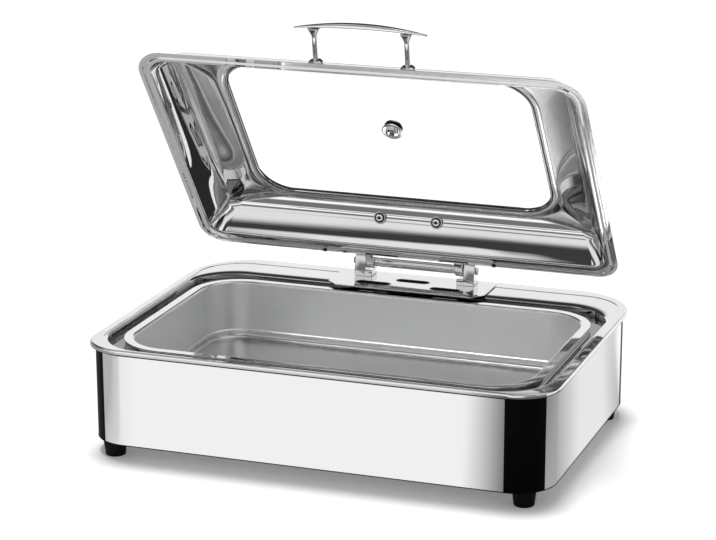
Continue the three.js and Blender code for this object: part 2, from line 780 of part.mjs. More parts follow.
// Power switch: the housing clips through the bezel, and the rocker tilts on its own stub pivots
const pivotY = bezelFace + rocker.flange / 2;
function switchHousing() {
  const { bodyDepth, flange, lip } = rocker;
  const outerFace = bezelFace + seatGap + flange;
  const tubShape = plainShape(switchBody.width / 2, switchBody.height / 2, leastRadius);
  const lipShape = plainShape(switchBody.width / 2 + lip, switchBody.height / 2 + lip, lip);
  const body = outward(
    platform(tubShape, outerFace - flange - bodyDepth, outerFace),
    rockerX,
    controls.centreZ,
  );
  const rimPlate = outward(platform(lipShape, outerFace - flange, outerFace), rockerX, controls.centreZ);
  const reach = Math.hypot(rocker.height / 2, rocker.back) + rocker.clearance;
  const well = new THREE.BoxGeometry(cavity.width, reach + flange + cutOverrun, cavity.height)
    .translate(rockerX, pivotY + (flange + cutOverrun - reach) / 2, controls.centreZ);
  const seat = new THREE.CylinderGeometry(
    rocker.pivot + seatGap,
    rocker.pivot + seatGap,
    cavity.width + 2 * rocker.pivotReach + 2 * seatGap,
    turnedSteps,
  ).rotateZ(quarterTurn).translate(rockerX, pivotY, controls.centreZ);
  return cut(join(body, rimPlate), well, seat);
}
add('switch_housing', switchHousing(), 'blackPlastic');

function rockerBody() {
  const { width, height, front, back, pivot, pivotReach, clearance } = rocker;
  const outline = new THREE.Shape();
  outline.moveTo(-back, -height / 2);
  outline.lineTo(front, -height / 2);
  outline.quadraticCurveTo(front / 2, 0, front, height / 2);
  outline.lineTo(-back, height / 2);
  const stub = new THREE.CylinderGeometry(pivot, pivot, width + 2 * (clearance + pivotReach), turnedSteps)
    .rotateZ(quarterTurn);
  return join(sideways(outline, 0, width), stub);
}
const rockerGroup = new THREE.Group();
rockerGroup.position.set(rockerX, pivotY, controls.centreZ);
rockerGroup.rotation.x = -rocker.tiltDegrees * degrees;
model.add(rockerGroup);
add('power_rocker', rockerBody(), 'blackPlastic', rockerGroup);

// Power inlet: an appliance socket whose contacts stand on a plate in the bottom of its well
function inletBody() {
  const { width, height, flange, bodyWidth, bodyHeight, depth } = inlet;
  const { cavityWidth, cavityHeight, cavityDepth } = inlet;
  const low = rearFace + seatGap;
  const face = low + flange;
  const plateShape = plainShape(width / 2, height / 2, inlet.radius);
  const plate = outward(platform(plateShape, low, face), inlet.x, inlet.z);
  const body = outward(
    platform(plainShape(bodyWidth / 2, bodyHeight / 2, leastRadius), face - depth, low + flange / 2),
    inlet.x,
    inlet.z,
  );
  const well = outward(
    platform(plainShape(cavityWidth / 2, cavityHeight / 2, leastRadius), face - cavityDepth, face + cutOverrun),
    inlet.x,
    inlet.z,
  );
  return cut(join(plate, body), well);
}
add('inlet_socket', inletBody(), 'blackPlastic');

function inletContacts() {
  const bottom = rearFace + seatGap + inlet.flange - inlet.cavityDepth + seatGap;
  const clear = 2 * seatGap;
  const back = new THREE.BoxGeometry(inlet.cavityWidth - clear, inlet.backPlate, inlet.cavityHeight - clear)
    .translate(inlet.x, bottom + inlet.backPlate / 2, inlet.z);
  const pins = [-1, 0, 1].map((place) => new THREE.BoxGeometry(inlet.pinWidth, inlet.pinLength, inlet.pinHeight)
    .translate(
      inlet.x + place * inlet.pinPitch,
      bottom + inlet.pinLength / 2,
      inlet.z + (place === 0 ? inlet.pinDrop : -inlet.pinDrop),
    ));
  return join(back, ...pins);
}
add('inlet_contacts', inletContacts(), 'brass');

// Hinge: fixed half
const axisY = rim.depth / 2 - hinge.axisBack;
const axisZ = rim.top + hinge.axisHeight;
const seatLow = rim.top + seatGap;
const seatTop = seatLow + seatPlate.sheet;
const postX = hinge.barrelHalf + seatGap + hingePost.width / 2;
const pinBore = hinge.pinRadius + hinge.boreClearance;

function seatPlateBody() {
  const { halfWidth, frontClearance, rearMargin, bevel } = seatPlate;
  const front = panFlange.rear + frontClearance;
  const rear = rim.depth / 2 - rearMargin;
  const outline = new THREE.Shape();
  outline.moveTo(-halfWidth + bevel, front);
  outline.lineTo(halfWidth - bevel, front);
  outline.lineTo(halfWidth, front + bevel);
  outline.lineTo(halfWidth, rear);
  outline.lineTo(-halfWidth, rear);
  outline.lineTo(-halfWidth, front + bevel);
  const slots = [
    [seatPlate.leftSlotX, front + seatPlate.slotY, seatPlate.leftSlotLength],
    [0, front + seatPlate.midSlotY, seatPlate.midSlotLength],
    [seatPlate.rightSlotX, front + seatPlate.slotY, seatPlate.rightSlotLength],
  ];
  const tools = slots.map(([x, y, length]) => platform(
    plainShape(length / 2, seatPlate.slotWidth / 2, seatPlate.slotWidth / 2),
    seatLow - cutOverrun,
    seatTop + cutOverrun,
  ).translate(x, y, 0));
  return cut(upright(outline, seatLow, seatTop), ...tools);
}
add('hinge_seat_plate', seatPlateBody(), 'polishedSteel');

function hingePostBody(x) {
  const { knuckle, front, rear, toe, leanDegrees, footWidth, footHeight } = hingePost;
  const low = seatTop + seatGap;
  const outline = new THREE.Shape();
  outline.moveTo(axisY - front, low);
  outline.lineTo(axisY + rear, low);
  outline.lineTo(axisY + knuckle, axisZ);
  outline.absarc(axisY, axisZ, knuckle, 0, leanDegrees * degrees, false);
  outline.lineTo(axisY - front, low + toe);
  const bore = new THREE.Path();
  bore.absarc(axisY, axisZ, pinBore, 0, 2 * Math.PI, true);
  outline.holes.push(bore);
  const footX = Math.sign(x) * (Math.abs(x) + (hingePost.width - footWidth) / 2);
  const foot = slab(footX, axisY + (rear - front) / 2, low, footWidth, front + rear, footHeight);
  return join(sideways(outline, x, hingePost.width), foot);
}
for (const [side, sign] of sides) {
  add(`hinge_post_${side}`, hingePostBody(sign * postX), 'polishedSteel');
}

function hingePin() {
  const end = postX + hingePost.width / 2 + seatGap;
  return turned([
    [0, -end - hinge.headLength],
    [hinge.headRadius, -end - hinge.headLength],
    [hinge.headRadius, -end],
    [hinge.pinRadius, -end],
    [hinge.pinRadius, end],
    [hinge.headRadius, end],
    [hinge.headRadius, end + hinge.headLength],
    [0, end + hinge.headLength],
  ]).rotateY(quarterTurn).translate(0, axisY, axisZ);
}
add('hinge_pin', hingePin(), 'satinSteel');

// Lid: everything below is drawn shut, measured from the hinge's axis
const lidGroup = new THREE.Group();
lidGroup.position.set(0, axisY, axisZ);
lidGroup.rotation.x = -lid.openDegrees * degrees;
model.add(lidGroup);

const lidRear = -lid.behind;
const lidFront = lidRear - lid.depth;
const lidLow = rim.top + lid.seat - axisZ;
const wallTilt = lid.leanDegrees * degrees;
const lean = Math.tan(wallTilt);
const sheetAcross = lid.sheet / Math.cos(wallTilt);
const flangeShape = {
  halfWidth: lid.width / 2, front: lidFront, rear: lidRear,
  frontRadius: lid.frontRadius, rearRadius: lid.rearRadius,
};

// The dome's outline where its wall has run inward from its foot, at a height above the flange
function domeShape(run, height) {
  const share = height / lid.height;
  return {
    halfWidth: lid.width / 2 - lid.sideStart - run,
    front: lidFront + lid.frontStart + run,
    rear: lidRear - lid.rearStart - run,
    frontRadius: lid.footFrontRadius + (lid.topRadius - lid.footFrontRadius) * share,
    rearRadius: lid.footRearRadius + (lid.topRadius - lid.footRearRadius) * share,
  };
}

// Where the round shoulder's face is tilted back from upright by an angle, a depth under its skin
function shoulderPoint(tilt, under) {
  const { shoulder, shoulderRadius } = lid;
  const across = shoulderRadius * (Math.cos(wallTilt) - Math.cos(tilt)) + under * Math.cos(tilt);
  const up = shoulderRadius * (Math.sin(tilt) - Math.sin(wallTilt)) - under * Math.sin(tilt);
  return { run: lean * shoulder - sheetAcross + across, height: shoulder + up };
}

// How far a flat disc stands off the round inner face of the shoulder
function sagUnder(radius) {
  const inner = lid.shoulderRadius - lid.sheet;
  return inner - Math.sqrt(inner * inner - radius * radius);
}

const windowShape = {
  halfWidth: glassWindow.width / 2,
  front: lidRear - glassWindow.back - glassWindow.depth,
  rear: lidRear - glassWindow.back,
  frontRadius: glassWindow.radius,
  rearRadius: glassWindow.radius,
};
const windowY = (windowShape.front + windowShape.rear) / 2;

function lidShell() {
  const { sheet, height, beadInset, beadHalf, beadRise, shoulderDegrees, shoulderSteps } = lid;
  const opening = grown(windowShape, glassWindow.shellMargin);
  const seat = grown(windowShape, glassWindow.seatMargin);
  const at = (rise) => lidLow + rise;
  const shoulder = (under) => Array.from({ length: shoulderSteps + 1 }, (_, step) => {
    const tilt = wallTilt + (shoulderDegrees * degrees - wallTilt) * (step / shoulderSteps);
    const point = shoulderPoint(tilt, under);
    return ring(domeShape(point.run, point.height), at(point.height));
  });
  return loft([
    ring(flangeShape, at(0)),
    ring(flangeShape, at(sheet)),
    ring(grown(flangeShape, beadHalf - beadInset), at(sheet)),
    ring(grown(flangeShape, -beadInset), at(sheet + beadRise)),
    ring(grown(flangeShape, -beadHalf - beadInset), at(sheet)),
    ring(domeShape(lean * sheet - sheetAcross, sheet), at(sheet)),
    ...shoulder(0),
    ring(seat, at(height)),
    ring(opening, at(height)),
    ring(opening, at(height - sheet)),
    ring(seat, at(height - sheet)),
    ...shoulder(sheet).reverse(),
    ring(domeShape(0, 0), at(0)),
    ring(grown(flangeShape, -beadHalf - beadInset), at(0)),
    ring(grown(flangeShape, -beadInset), at(beadRise)),
    ring(grown(flangeShape, beadHalf - beadInset), at(0)),
  ], true);
}

// Handle group: its Z axis stands square to the front wall
const handleGroup = new THREE.Group();
const frontFoot = shoulderPoint(wallTilt, 0);
const handleFoot = { y: lidFront + lid.frontStart + frontFoot.run, z: lidLow + frontFoot.height };
handleGroup.position.set(0, handleFoot.y, handleFoot.z);
handleGroup.rotation.x = quarterTurn - wallTilt;
lidGroup.add(handleGroup);

function barSection(share) {
  const belly = 1 - share * share;
  const width = handle.barTipWidth + (handle.barWidth - handle.barTipWidth) * belly;
  const thickness = handle.barTipThickness + (handle.barThickness - handle.barTipThickness) * belly;
  const archShare = 1 - (handle.spacing / 2 / handle.barHalf) ** 2;
  const middle = handle.postTop + seatGap + handle.barThickness / 2 + handle.barArch * (belly - archShare);
  const points = [];
  for (let i = 0; i < handle.barSides; i += 1) {
    const angle = (2 * Math.PI * i) / handle.barSides;
    points.push(new THREE.Vector3(
      handle.barHalf * share,
      (width / 2) * Math.cos(angle),
      middle + (thickness / 2) * Math.sin(angle),
    ));
  }
  return points;
}

function handleBar() {
  const sections = [];
  for (let i = 0; i <= handle.barSteps; i += 1) {
    sections.push(barSection((2 * i) / handle.barSteps - 1));
  }
  return loft(sections, false);
}
add('handle_bar', handleBar(), 'polishedSteel', handleGroup);

function handlePost(x) {
  const { postRadius, flareRadius, flareLength, postTop, rosette, barThickness } = handle;
  const low = rosette + 2 * seatGap;
  const blank = turned([
    [0, low],
    [postRadius, low],
    [postRadius, postTop - flareLength],
    [(postRadius + flareRadius) / 2, postTop - flareLength / 3],
    [flareRadius, postTop],
    [flareRadius, postTop + handle.socket],
    [flareRadius - handle.socket, postTop + barThickness / 2],
    [0, postTop + barThickness / 2],
  ]).translate(x, 0, 0);
  const bar = handleBar().translate(0, 0, -seatGap);
  const cutWidth = 4 * flareRadius;
  const above = slab(x, 0, postTop + handle.socket, cutWidth, cutWidth, barThickness + cutOverrun);
  const screwBore = rod(handle.screwRadius + seatGap, low - cutOverrun, low + handle.screwDepth);
  return cut(blank, bar, above, screwBore.translate(x, 0, 0));
}

function handleRosette(x) {
  return turned([
    [handle.screwRadius + seatGap, seatGap],
    [handle.rosetteRadius, seatGap],
    [handle.rosetteTop, handle.rosette + seatGap],
    [handle.screwRadius + seatGap, handle.rosette + seatGap],
  ]).translate(x, 0, 0);
}

function handleScrew(x) {
  const under = -lid.sheet - sagUnder(handle.screwHeadRadius) - seatGap;
  return turned([
    [0, under - handle.screwHead],
    [handle.screwHeadRadius, under - handle.screwHead],
    [handle.screwHeadRadius, under],
    [handle.screwRadius, under],
    [handle.screwRadius, handle.rosette + handle.screwDepth - seatGap],
    [0, handle.rosette + handle.screwDepth - seatGap],
  ]).translate(x, 0, 0);
}

const frontHoles = [];
for (const [side, sign] of sides) {
  const x = sign * handle.spacing / 2;
  add(`handle_post_${side}`, handlePost(x), 'polishedSteel', handleGroup);
  add(`handle_rosette_${side}`, handleRosette(x), 'polishedSteel', handleGroup);
  add(`handle_screw_${side}`, handleScrew(x), 'satinSteel', handleGroup);
  frontHoles.push(rod(handle.screwRadius + seatGap, -sheetAcross - cutOverrun, cutOverrun)
    .rotateX(quarterTurn - wallTilt)
    .translate(x, handleFoot.y, handleFoot.z));
}

// Bracket: a plate on the lid's rear shoulder, and two arms whose eyes grip the barrel's ends
const bracketTilt = bracket.tiltDegrees * degrees;
const rearPoint = shoulderPoint(bracketTilt, 0);
const bracketSeat = { y: lidRear - lid.rearStart - rearPoint.run, z: lidLow + rearPoint.height };

function onRearShoulder(geometry, x) {
  return geometry.rotateX(bracketTilt - quarterTurn).translate(x, bracketSeat.y, bracketSeat.z);
}

function lidBracket() {
  const { halfWidth, sheet, plateHalf, armWidth, eyeRadius, armHalf } = bracket;
  const normal = { y: Math.cos(bracketTilt), z: Math.sin(bracketTilt) };
  const off = (up, distance) => [
    bracketSeat.y + normal.y * distance - normal.z * up,
    bracketSeat.z + normal.z * distance + normal.y * up,
  ];
  const plate = new THREE.Shape();
  plate.moveTo(...off(-plateHalf, seatGap));
  plate.lineTo(...off(-plateHalf, seatGap + sheet));
  plate.lineTo(...off(plateHalf, seatGap + sheet));
  plate.lineTo(...off(plateHalf, seatGap));
  const arm = new THREE.Shape();
  arm.moveTo(...off(-plateHalf, seatGap));
  arm.lineTo(0, -armHalf);
  arm.lineTo(0, armHalf);
  arm.lineTo(...off(0, seatGap + sheet));
  arm.lineTo(...off(0, seatGap));
  const eyeX = hinge.barrelHalf - hinge.collarLength / 2;
  const parts = [];
  const bores = [];
  for (const [, sign] of sides) {
    const eye = rod(eyeRadius, -armWidth / 2, armWidth / 2).rotateY(quarterTurn);
    const bore = rod(hinge.collarRadius + seatGap, -armWidth, armWidth).rotateY(quarterTurn);
    parts.push(sideways(arm, sign * eyeX, armWidth), eye.translate(sign * eyeX, 0, 0));
    bores.push(bore.translate(sign * eyeX, 0, 0));
  }
  const screwHoles = sides.map(([, sign]) => onRearShoulder(
    rod(bracket.screwRadius + seatGap, -cutOverrun, sheet + 2 * cutOverrun),
    sign * bracket.screwX,
  ));
  return cut(join(sideways(plate, 0, 2 * halfWidth), ...parts), ...bores, ...screwHoles);
}
add('lid_bracket', lidBracket(), 'polishedSteel', lidGroup);

const rearHoles = [];
for (const [side, sign] of sides) {
  const x = sign * bracket.screwX;
  const flangeTop = -lid.sheet - sagUnder(bracket.washerRadius) - seatGap;
  const headTop = flangeTop - bracket.washer;
  add(`bracket_screw_${side}`, onRearShoulder(turned([
    [0, headTop - bracket.head],
    [bracket.headRadius / 2, headTop - bracket.head],
    [bracket.headRadius, headTop],
    [bracket.washerRadius, headTop],
    [bracket.washerRadius, flangeTop],
    [bracket.screwRadius, flangeTop],
    [bracket.screwRadius, bracket.sheet + 2 * seatGap],
    [0, bracket.sheet + 2 * seatGap],
  ]), x), 'satinSteel', lidGroup);
  rearHoles.push(onRearShoulder(rod(bracket.screwRadius + seatGap, -lid.sheet - cutOverrun, cutOverrun), x));
}
add('lid_shell', cut(lidShell(), ...frontHoles, ...rearHoles), 'polishedSteel', lidGroup);

function hingeBarrel() {
  const { barrelRadius, barrelHalf, collarRadius, collarLength } = hinge;
  const { grooveDepth, grooveWidth, grooveInset } = hinge;
  const half = [
    [pinBore, barrelHalf],
    [collarRadius, barrelHalf],
    [collarRadius, barrelHalf - collarLength],
    [barrelRadius, barrelHalf - collarLength],
    [barrelRadius, barrelHalf - collarLength - grooveInset],
    [barrelRadius - grooveDepth, barrelHalf - collarLength - grooveInset],
    [barrelRadius - grooveDepth, barrelHalf - collarLength - grooveInset - grooveWidth],
    [barrelRadius, barrelHalf - collarLength - grooveInset - grooveWidth],
  ];
  const other = half.map(([radius, height]) => [radius, -height]).reverse();
  return turned([...half, ...other]).rotateY(quarterTurn);
}
add('hinge_barrel', hingeBarrel(), 'polishedSteel', lidGroup);

// Window: a rubber seal grips the shell's edge and the glass's edge, with a trim ring inside
const sealSeat = lid.height - lid.sheet - seatGap;
const glassLow = sealSeat + seatGap;
const glassEdgeTop = glassLow + glassWindow.glass;

function windowSeal() {
  const { seal, sealMargin, sealWall, sealCap, glassMargin, shellMargin } = glassWindow;
  const inner = glassMargin + seatGap;
  const web = shellMargin - seatGap;
  const over = lid.height + seatGap;
  const top = glassEdgeTop + seatGap;
  const at = (margin, rise) => ring(grown(windowShape, margin), lidLow + rise);
  return loft([
    at(0, sealSeat - seal),
    at(sealMargin, sealSeat - seal),
    at(sealMargin, sealSeat),
    at(web, sealSeat),
    at(web, over),
    at(sealCap, over),
    at(inner + sealWall, over + seal),
    at(inner + sealWall, top + seal),
    at(0, top + seal),
    at(0, top),
    at(inner, top),
    at(inner, sealSeat),
    at(0, sealSeat),
  ], true);
}
add('window_seal', windowSeal(), 'silicone', lidGroup);

const ventShape = {
  halfWidth: vent.hole, front: windowY - vent.hole, rear: windowY + vent.hole,
  frontRadius: vent.hole, rearRadius: vent.hole,
};

function windowGlass() {
  const { glassMargin, flatEdge, rise, glass } = glassWindow;
  const edge = grown(windowShape, glassMargin);
  const flat = grown(windowShape, glassMargin - flatEdge);
  const domeShares = [0.12, 0.28, 0.46, 0.66, 0.84, 1];
  const domeRings = (low) => domeShares.map((share) => ring(
    between(flat, ventShape, share),
    lidLow + low + rise * (1 - (1 - share) ** 2),
  ));
  return loft([
    ring(edge, lidLow + glassLow),
    ring(flat, lidLow + glassLow),
    ...domeRings(glassLow),
    ...domeRings(glassEdgeTop).reverse(),
    ring(flat, lidLow + glassEdgeTop),
    ring(edge, lidLow + glassEdgeTop),
  ], true);
}
add('window_glass', windowGlass(), 'glass', lidGroup);

function windowFrame() {
  const { trimMargin, trimSheet, trimEdge, sealMargin } = glassWindow;
  const inner = sealMargin + seatGap;
  const at = (margin, rise) => ring(grown(windowShape, margin), lidLow + rise);
  return loft([
    at(inner, sealSeat - trimSheet),
    at(trimMargin - trimEdge, sealSeat - trimSheet),
    at(trimMargin, sealSeat - trimSheet + trimEdge),
    at(trimMargin, sealSeat),
    at(inner, sealSeat),
  ], true);
}
add('window_frame', windowFrame(), 'polishedSteel', lidGroup);

// Steam vent: a rubber grommet in the glass and a steel eyelet through it
const ventLow = lidLow + glassLow + glassWindow.rise;
const ventHigh = ventLow + glassWindow.glass;
add('vent_grommet', turned([
  [vent.bore, ventLow - seatGap - vent.sealSheet],
  [vent.sealRadius, ventLow - seatGap - vent.sealSheet],
  [vent.sealRadius, ventLow - seatGap],
  [vent.sleeve, ventLow - seatGap],
  [vent.sleeve, ventHigh + seatGap],
  [vent.sealRadius, ventHigh + seatGap],
  [vent.sealRadius, ventHigh + seatGap + vent.sealSheet],
  [vent.bore, ventHigh + seatGap + vent.sealSheet],
]).translate(0, windowY, 0), 'silicone', lidGroup);

const discTop = ventLow - 2 * seatGap - vent.sealSheet;
const capLow = ventHigh + 2 * seatGap + vent.sealSheet;
add('vent_eyelet', turned([
  [vent.tubeBore, discTop - vent.disc - vent.tier],
  [vent.tierRadius, discTop - vent.disc - vent.tier],
  [vent.tierRadius, discTop - vent.disc],
  [vent.discRadius, discTop - vent.disc],
  [vent.discRadius, discTop],
  [vent.tube, discTop],
  [vent.tube, capLow],
  [vent.capRadius, capLow],
  [vent.capRadius, capLow + vent.cap],
  [vent.tubeBore, capLow + vent.cap],
]).translate(0, windowY, 0), 'polishedSteel', lidGroup);

// Bumpers: soft studs under the flange, beside the seat plate, that meet the deck when the lid is shut
for (const [side, sign] of sides) {
  const x = seatPlate.halfWidth + bumper[`${side}Gap`] + bumper.radius;
  const stud = rod(bumper.radius, rim.top + seatGap - axisZ, lidLow - seatGap);
  const placed = stud.translate(sign * x, lidRear - bumper.inset, 0);
  add(`lid_bumper_rear_${side}`, placed, 'silicone', lidGroup);
}

// The origin is under the middle of the whole object, at the height of the feet
const bounds = new THREE.Box3().setFromObject(model, true);
model.position.y = -(bounds.min.y + bounds.max.y) / 2;

export default model;
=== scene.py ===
# %% [markdown]
# An electric chafing dish keeps a tray of food warm on a buffet table. Its body is polished
# steel on black feet, a removable pan hangs in it, and a deep lid with a glass window leans back
# on its hinge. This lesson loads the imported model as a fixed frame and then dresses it. Each
# piece is made in the frame's own millimetres, so nothing has to be fitted by eye.

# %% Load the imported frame
import math

import bmesh
import bpy
from mathutils import Matrix, Vector


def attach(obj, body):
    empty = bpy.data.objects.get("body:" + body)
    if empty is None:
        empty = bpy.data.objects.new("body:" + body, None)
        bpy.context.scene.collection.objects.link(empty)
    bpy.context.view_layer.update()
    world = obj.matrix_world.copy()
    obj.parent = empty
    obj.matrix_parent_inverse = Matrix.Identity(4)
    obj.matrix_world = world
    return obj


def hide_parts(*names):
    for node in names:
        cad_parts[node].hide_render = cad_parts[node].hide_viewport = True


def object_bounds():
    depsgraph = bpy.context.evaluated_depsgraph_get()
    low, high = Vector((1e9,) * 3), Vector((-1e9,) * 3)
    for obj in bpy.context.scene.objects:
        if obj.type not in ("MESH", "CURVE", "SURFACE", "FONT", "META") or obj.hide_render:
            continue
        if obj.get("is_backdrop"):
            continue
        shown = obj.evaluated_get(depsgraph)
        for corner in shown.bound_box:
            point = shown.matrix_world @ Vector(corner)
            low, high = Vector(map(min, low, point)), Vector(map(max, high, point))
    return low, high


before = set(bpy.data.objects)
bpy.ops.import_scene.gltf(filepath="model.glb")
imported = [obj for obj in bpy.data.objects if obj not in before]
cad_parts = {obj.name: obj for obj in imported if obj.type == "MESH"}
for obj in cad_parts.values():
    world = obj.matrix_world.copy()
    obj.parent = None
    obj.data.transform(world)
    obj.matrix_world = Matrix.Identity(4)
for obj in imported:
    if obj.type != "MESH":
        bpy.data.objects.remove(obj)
cad_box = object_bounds()
print("frame box:", [[round(value, 4) for value in corner] for corner in cad_box])

# %% [markdown]
# The drawing of the real object counts its depth from the middle of the rim, and the frame counts
# it from the middle of everything, open lid included. One constant carries the difference. The
# lid is drawn shut, measured from the hinge's axis, and then turned to where it stands, because
# a flat lid is far easier to draw than a leaning one.

# %% From the drawing to the frame
MM = 0.001
BACK_SHIFT = -8.55
AXIS_Y, AXIS_Z = 188.0, 162.0
LID_OPEN = math.radians(53.6)
LID_LOW = 143.9 - AXIS_Z
FRONT_WALL_TILT = math.radians(28.4)
REAR_SCREW_TILT = math.radians(44)
BOTH_SIDES = (("left", -1), ("right", 1))


def on_base(x, y, z):
    return Vector((x, y + BACK_SHIFT, z)) * MM


def on_lid(x, y, z):
    ahead = y * math.cos(LID_OPEN) + z * math.sin(LID_OPEN)
    up = z * math.cos(LID_OPEN) - y * math.sin(LID_OPEN)
    return on_base(x, AXIS_Y + ahead, AXIS_Z + up)


def lid_patch(foot_y, foot_z, turn):
    """Places drawn standing on a patch of the lid, which is turned about X from flat."""
    def place(x, y, z):
        back = foot_y + y * math.cos(turn) - z * math.sin(turn)
        return on_lid(x, back, foot_z + y * math.sin(turn) + z * math.cos(turn))
    return place


def moved(place, x_shift, y_shift=0, z_shift=0):
    """The same places, carried along by some millimetres."""
    return lambda x, y, z: place(x_shift + x, y_shift + y, z_shift + z)


def sideways(place):
    """Places drawn in depth and height, with the thickness along X."""
    return lambda y, z, x: place(x, y, z)


print("hinge axis:", on_lid(0, 0, 0)[:])

# %% [markdown]
# The camera stands where the photograph was taken: about three metres off, a little to the right
# and above. Its place and its three directions were worked out from the corners of the pan, the
# rim and the body. A long lens keeps the lines nearly parallel, and a small shift frames the
# object without tilting the camera.

# %% Camera
IMAGE_WIDTH = 716
FOCAL_PIXELS = 2546
SENSOR_WIDTH = 36
SHIFT_RIGHT, SHIFT_UP = -23.0, 77.4


def new_object(name, data):
    made = bpy.data.objects.new(name, data)
    bpy.context.scene.collection.objects.link(made)
    return made


camera_data = bpy.data.cameras.new("camera")
camera_data.sensor_width = SENSOR_WIDTH
camera_data.lens = FOCAL_PIXELS * SENSOR_WIDTH / IMAGE_WIDTH
camera_data.shift_x = SHIFT_RIGHT / IMAGE_WIDTH
camera_data.shift_y = SHIFT_UP / IMAGE_WIDTH
camera_data.clip_end = 30
camera = new_object("camera", camera_data)
camera_right = Vector((0.9441, 0.3295, 0.0012)).normalized()
camera_back = Vector((0.3136, -0.8997, 0.3036)).normalized()
camera_up = camera_back.cross(camera_right).normalized()
turn = Matrix((camera_right, camera_up, camera_back)).transposed().to_4x4()
camera.matrix_world = Matrix.Translation(on_base(1008.2, -2842.7, 1067.5)) @ turn
bpy.context.scene.camera = camera
print("lens:", round(camera_data.lens, 1), "mm")

# %% [markdown]
# Nearly every piece is a skin over a row of rings: rounded rectangles for the pressed sheets and
# circles for the turned ones. A row of stations says where the skin bends, and each station has
# its own bending radius, because pressed and turned metal never has a dead sharp corner.

# %% Stations and rings
LONGEST_BEND = 0.48


def rect(half_width, front, rear, front_radius, rear_radius):
    return (half_width, front, rear, front_radius, rear_radius)


def grown(shape, by):
    half_width, front, rear, *radii = shape
    return (half_width + by, front - by, rear + by, *(max(radius + by, 1) for radius in radii))


def mixed(a, b, share):
    return tuple(p + (q - p) * share for p, q in zip(a, b))


def around(shape, rows, lift=0):
    """Stations round a shape. A row is how far out, how high, and the bending radius."""
    return [(*grown(shape, by), lift + z, bend) for by, z, bend in rows]


def bent(stations, closed=True, steps=4):
    """The row of stations with each bend rounded. A station ends with its bending radius."""
    row = []
    count = len(stations)
    for i, (*here, radius) in enumerate(stations):
        if radius == 0 or (not closed and i in (0, count - 1)):
            row.append(here)
            continue
        before, after = stations[i - 1][:-1], stations[(i + 1) % count][:-1]
        back = Vector((before[0] - here[0], before[-1] - here[-1]))
        ahead = Vector((after[0] - here[0], after[-1] - here[-1]))
        reach = radius * math.tan(max(math.pi - back.angle(ahead), 0) / 2)
        start = mixed(here, before, min(reach / back.length, LONGEST_BEND))
        end = mixed(here, after, min(reach / ahead.length, LONGEST_BEND))
        for share in [step / steps for step in range(steps + 1)]:
            row.append(mixed(mixed(start, here, share), mixed(here, end, share), share))
    return row


def arc(x, y, radius, start, end, steps):
    """Points along an arc, with its angles in degrees."""
    angles = [math.radians(start + (end - start) * step / steps) for step in range(steps + 1)]
    return [(x + radius * math.cos(angle), y + radius * math.sin(angle)) for angle in angles]


def round_hole(x, y, radius, points=24):
    return arc(x, y, radius, 0, 360 - 360 / points, points - 1)


def full_turn(steps):
    return [2 * math.pi * step / steps for step in range(steps)]


def rounded(shape, steps):
    """The outline of a shape, corner by corner from the front right."""
    half_width, front, rear, front_radius, rear_radius = shape
    corners = [
        (half_width - front_radius, front + front_radius, front_radius, -90),
        (half_width - rear_radius, rear - rear_radius, rear_radius, 0),
        (rear_radius - half_width, rear - rear_radius, rear_radius, 90),
        (front_radius - half_width, front + front_radius, front_radius, 180),
    ]
    return [point for x, y, radius, start in corners
            for point in arc(x, y, radius, start, start + 90, steps)]


def rect_ring(numbers, place):
    *shape, z = numbers
    return [place(x, y, z) for x, y in rounded(shape, 14)]


def mirrored(half):
    """Turned stations, and the same again for the other end of the piece."""
    return half + [(radius, -height, bend) for radius, height, bend in half[::-1]]


def round_ring(numbers, place, steps=40):
    radius, height = numbers
    return [place(radius * math.cos(angle), radius * math.sin(angle), height)
            for angle in full_turn(steps)]


print("points in a ring:", len(rect_ring((9, -9, 9, 1, 1, 0), on_base)))

# %% [markdown]
# A skin becomes a mesh, and the mesh becomes a piece: an object with a finish that rides on one
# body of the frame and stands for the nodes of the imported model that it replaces.

# %% From rings to pieces
SHARP = math.radians(38)


def as_mesh(holder):
    """The plain mesh that an object and its modifiers make. The object itself goes."""
    view = bpy.context.evaluated_depsgraph_get()
    made = bpy.data.meshes.new_from_object(holder.evaluated_get(view))
    bpy.data.objects.remove(holder)
    return made


def shaded(mesh):
    """Smooth shading in which the broad faces keep their own direction up to each bend."""
    name = mesh.name
    mesh.polygons.foreach_set("use_smooth", [True] * len(mesh.polygons))
    mesh.set_sharp_from_angle(angle=SHARP)
    holder = new_object(name, mesh)
    holder.modifiers.new("broad_faces", "WEIGHTED_NORMAL").keep_sharp = True
    made = as_mesh(holder)
    bpy.data.meshes.remove(mesh)
    made.name = name
    return made


def settle(mesh):
    """Merges doubles, turns the faces outward and shades smooth but for real edges."""
    shell = bmesh.new()
    shell.from_mesh(mesh)
    bmesh.ops.remove_doubles(shell, verts=shell.verts, dist=1e-6)
    bmesh.ops.dissolve_degenerate(shell, edges=shell.edges, dist=1e-7)
    bmesh.ops.recalc_face_normals(shell, faces=shell.faces)
    shell.to_mesh(mesh)
    shell.free()
    return shaded(mesh)


def skin(name, rings, looped=True):
    """A mesh over a row of rings. A row that isn't looped gets a face at each end."""
    mesh = bpy.data.meshes.new(name)
    count = len(rings[0])
    faces = []
    for row in range(len(rings) if looped else len(rings) - 1):
        low, high = row * count, (row + 1) % len(rings) * count
        for i in range(count):
            j = (i + 1) % count
            faces.append((low + i, low + j, high + j, high + i))
    if not looped:
        last = (len(rings) - 1) * count
        faces += [tuple(range(count)), tuple(range(last, last + count))]
    mesh.from_pydata([point for ring in rings for point in ring], [], faces)
    return settle(mesh)


def pressed(name, stations, place, bend_steps=4, closed=True):
    rings = [rect_ring(numbers, place) for numbers in bent(stations, closed, bend_steps)]
    return skin(name, rings, closed)


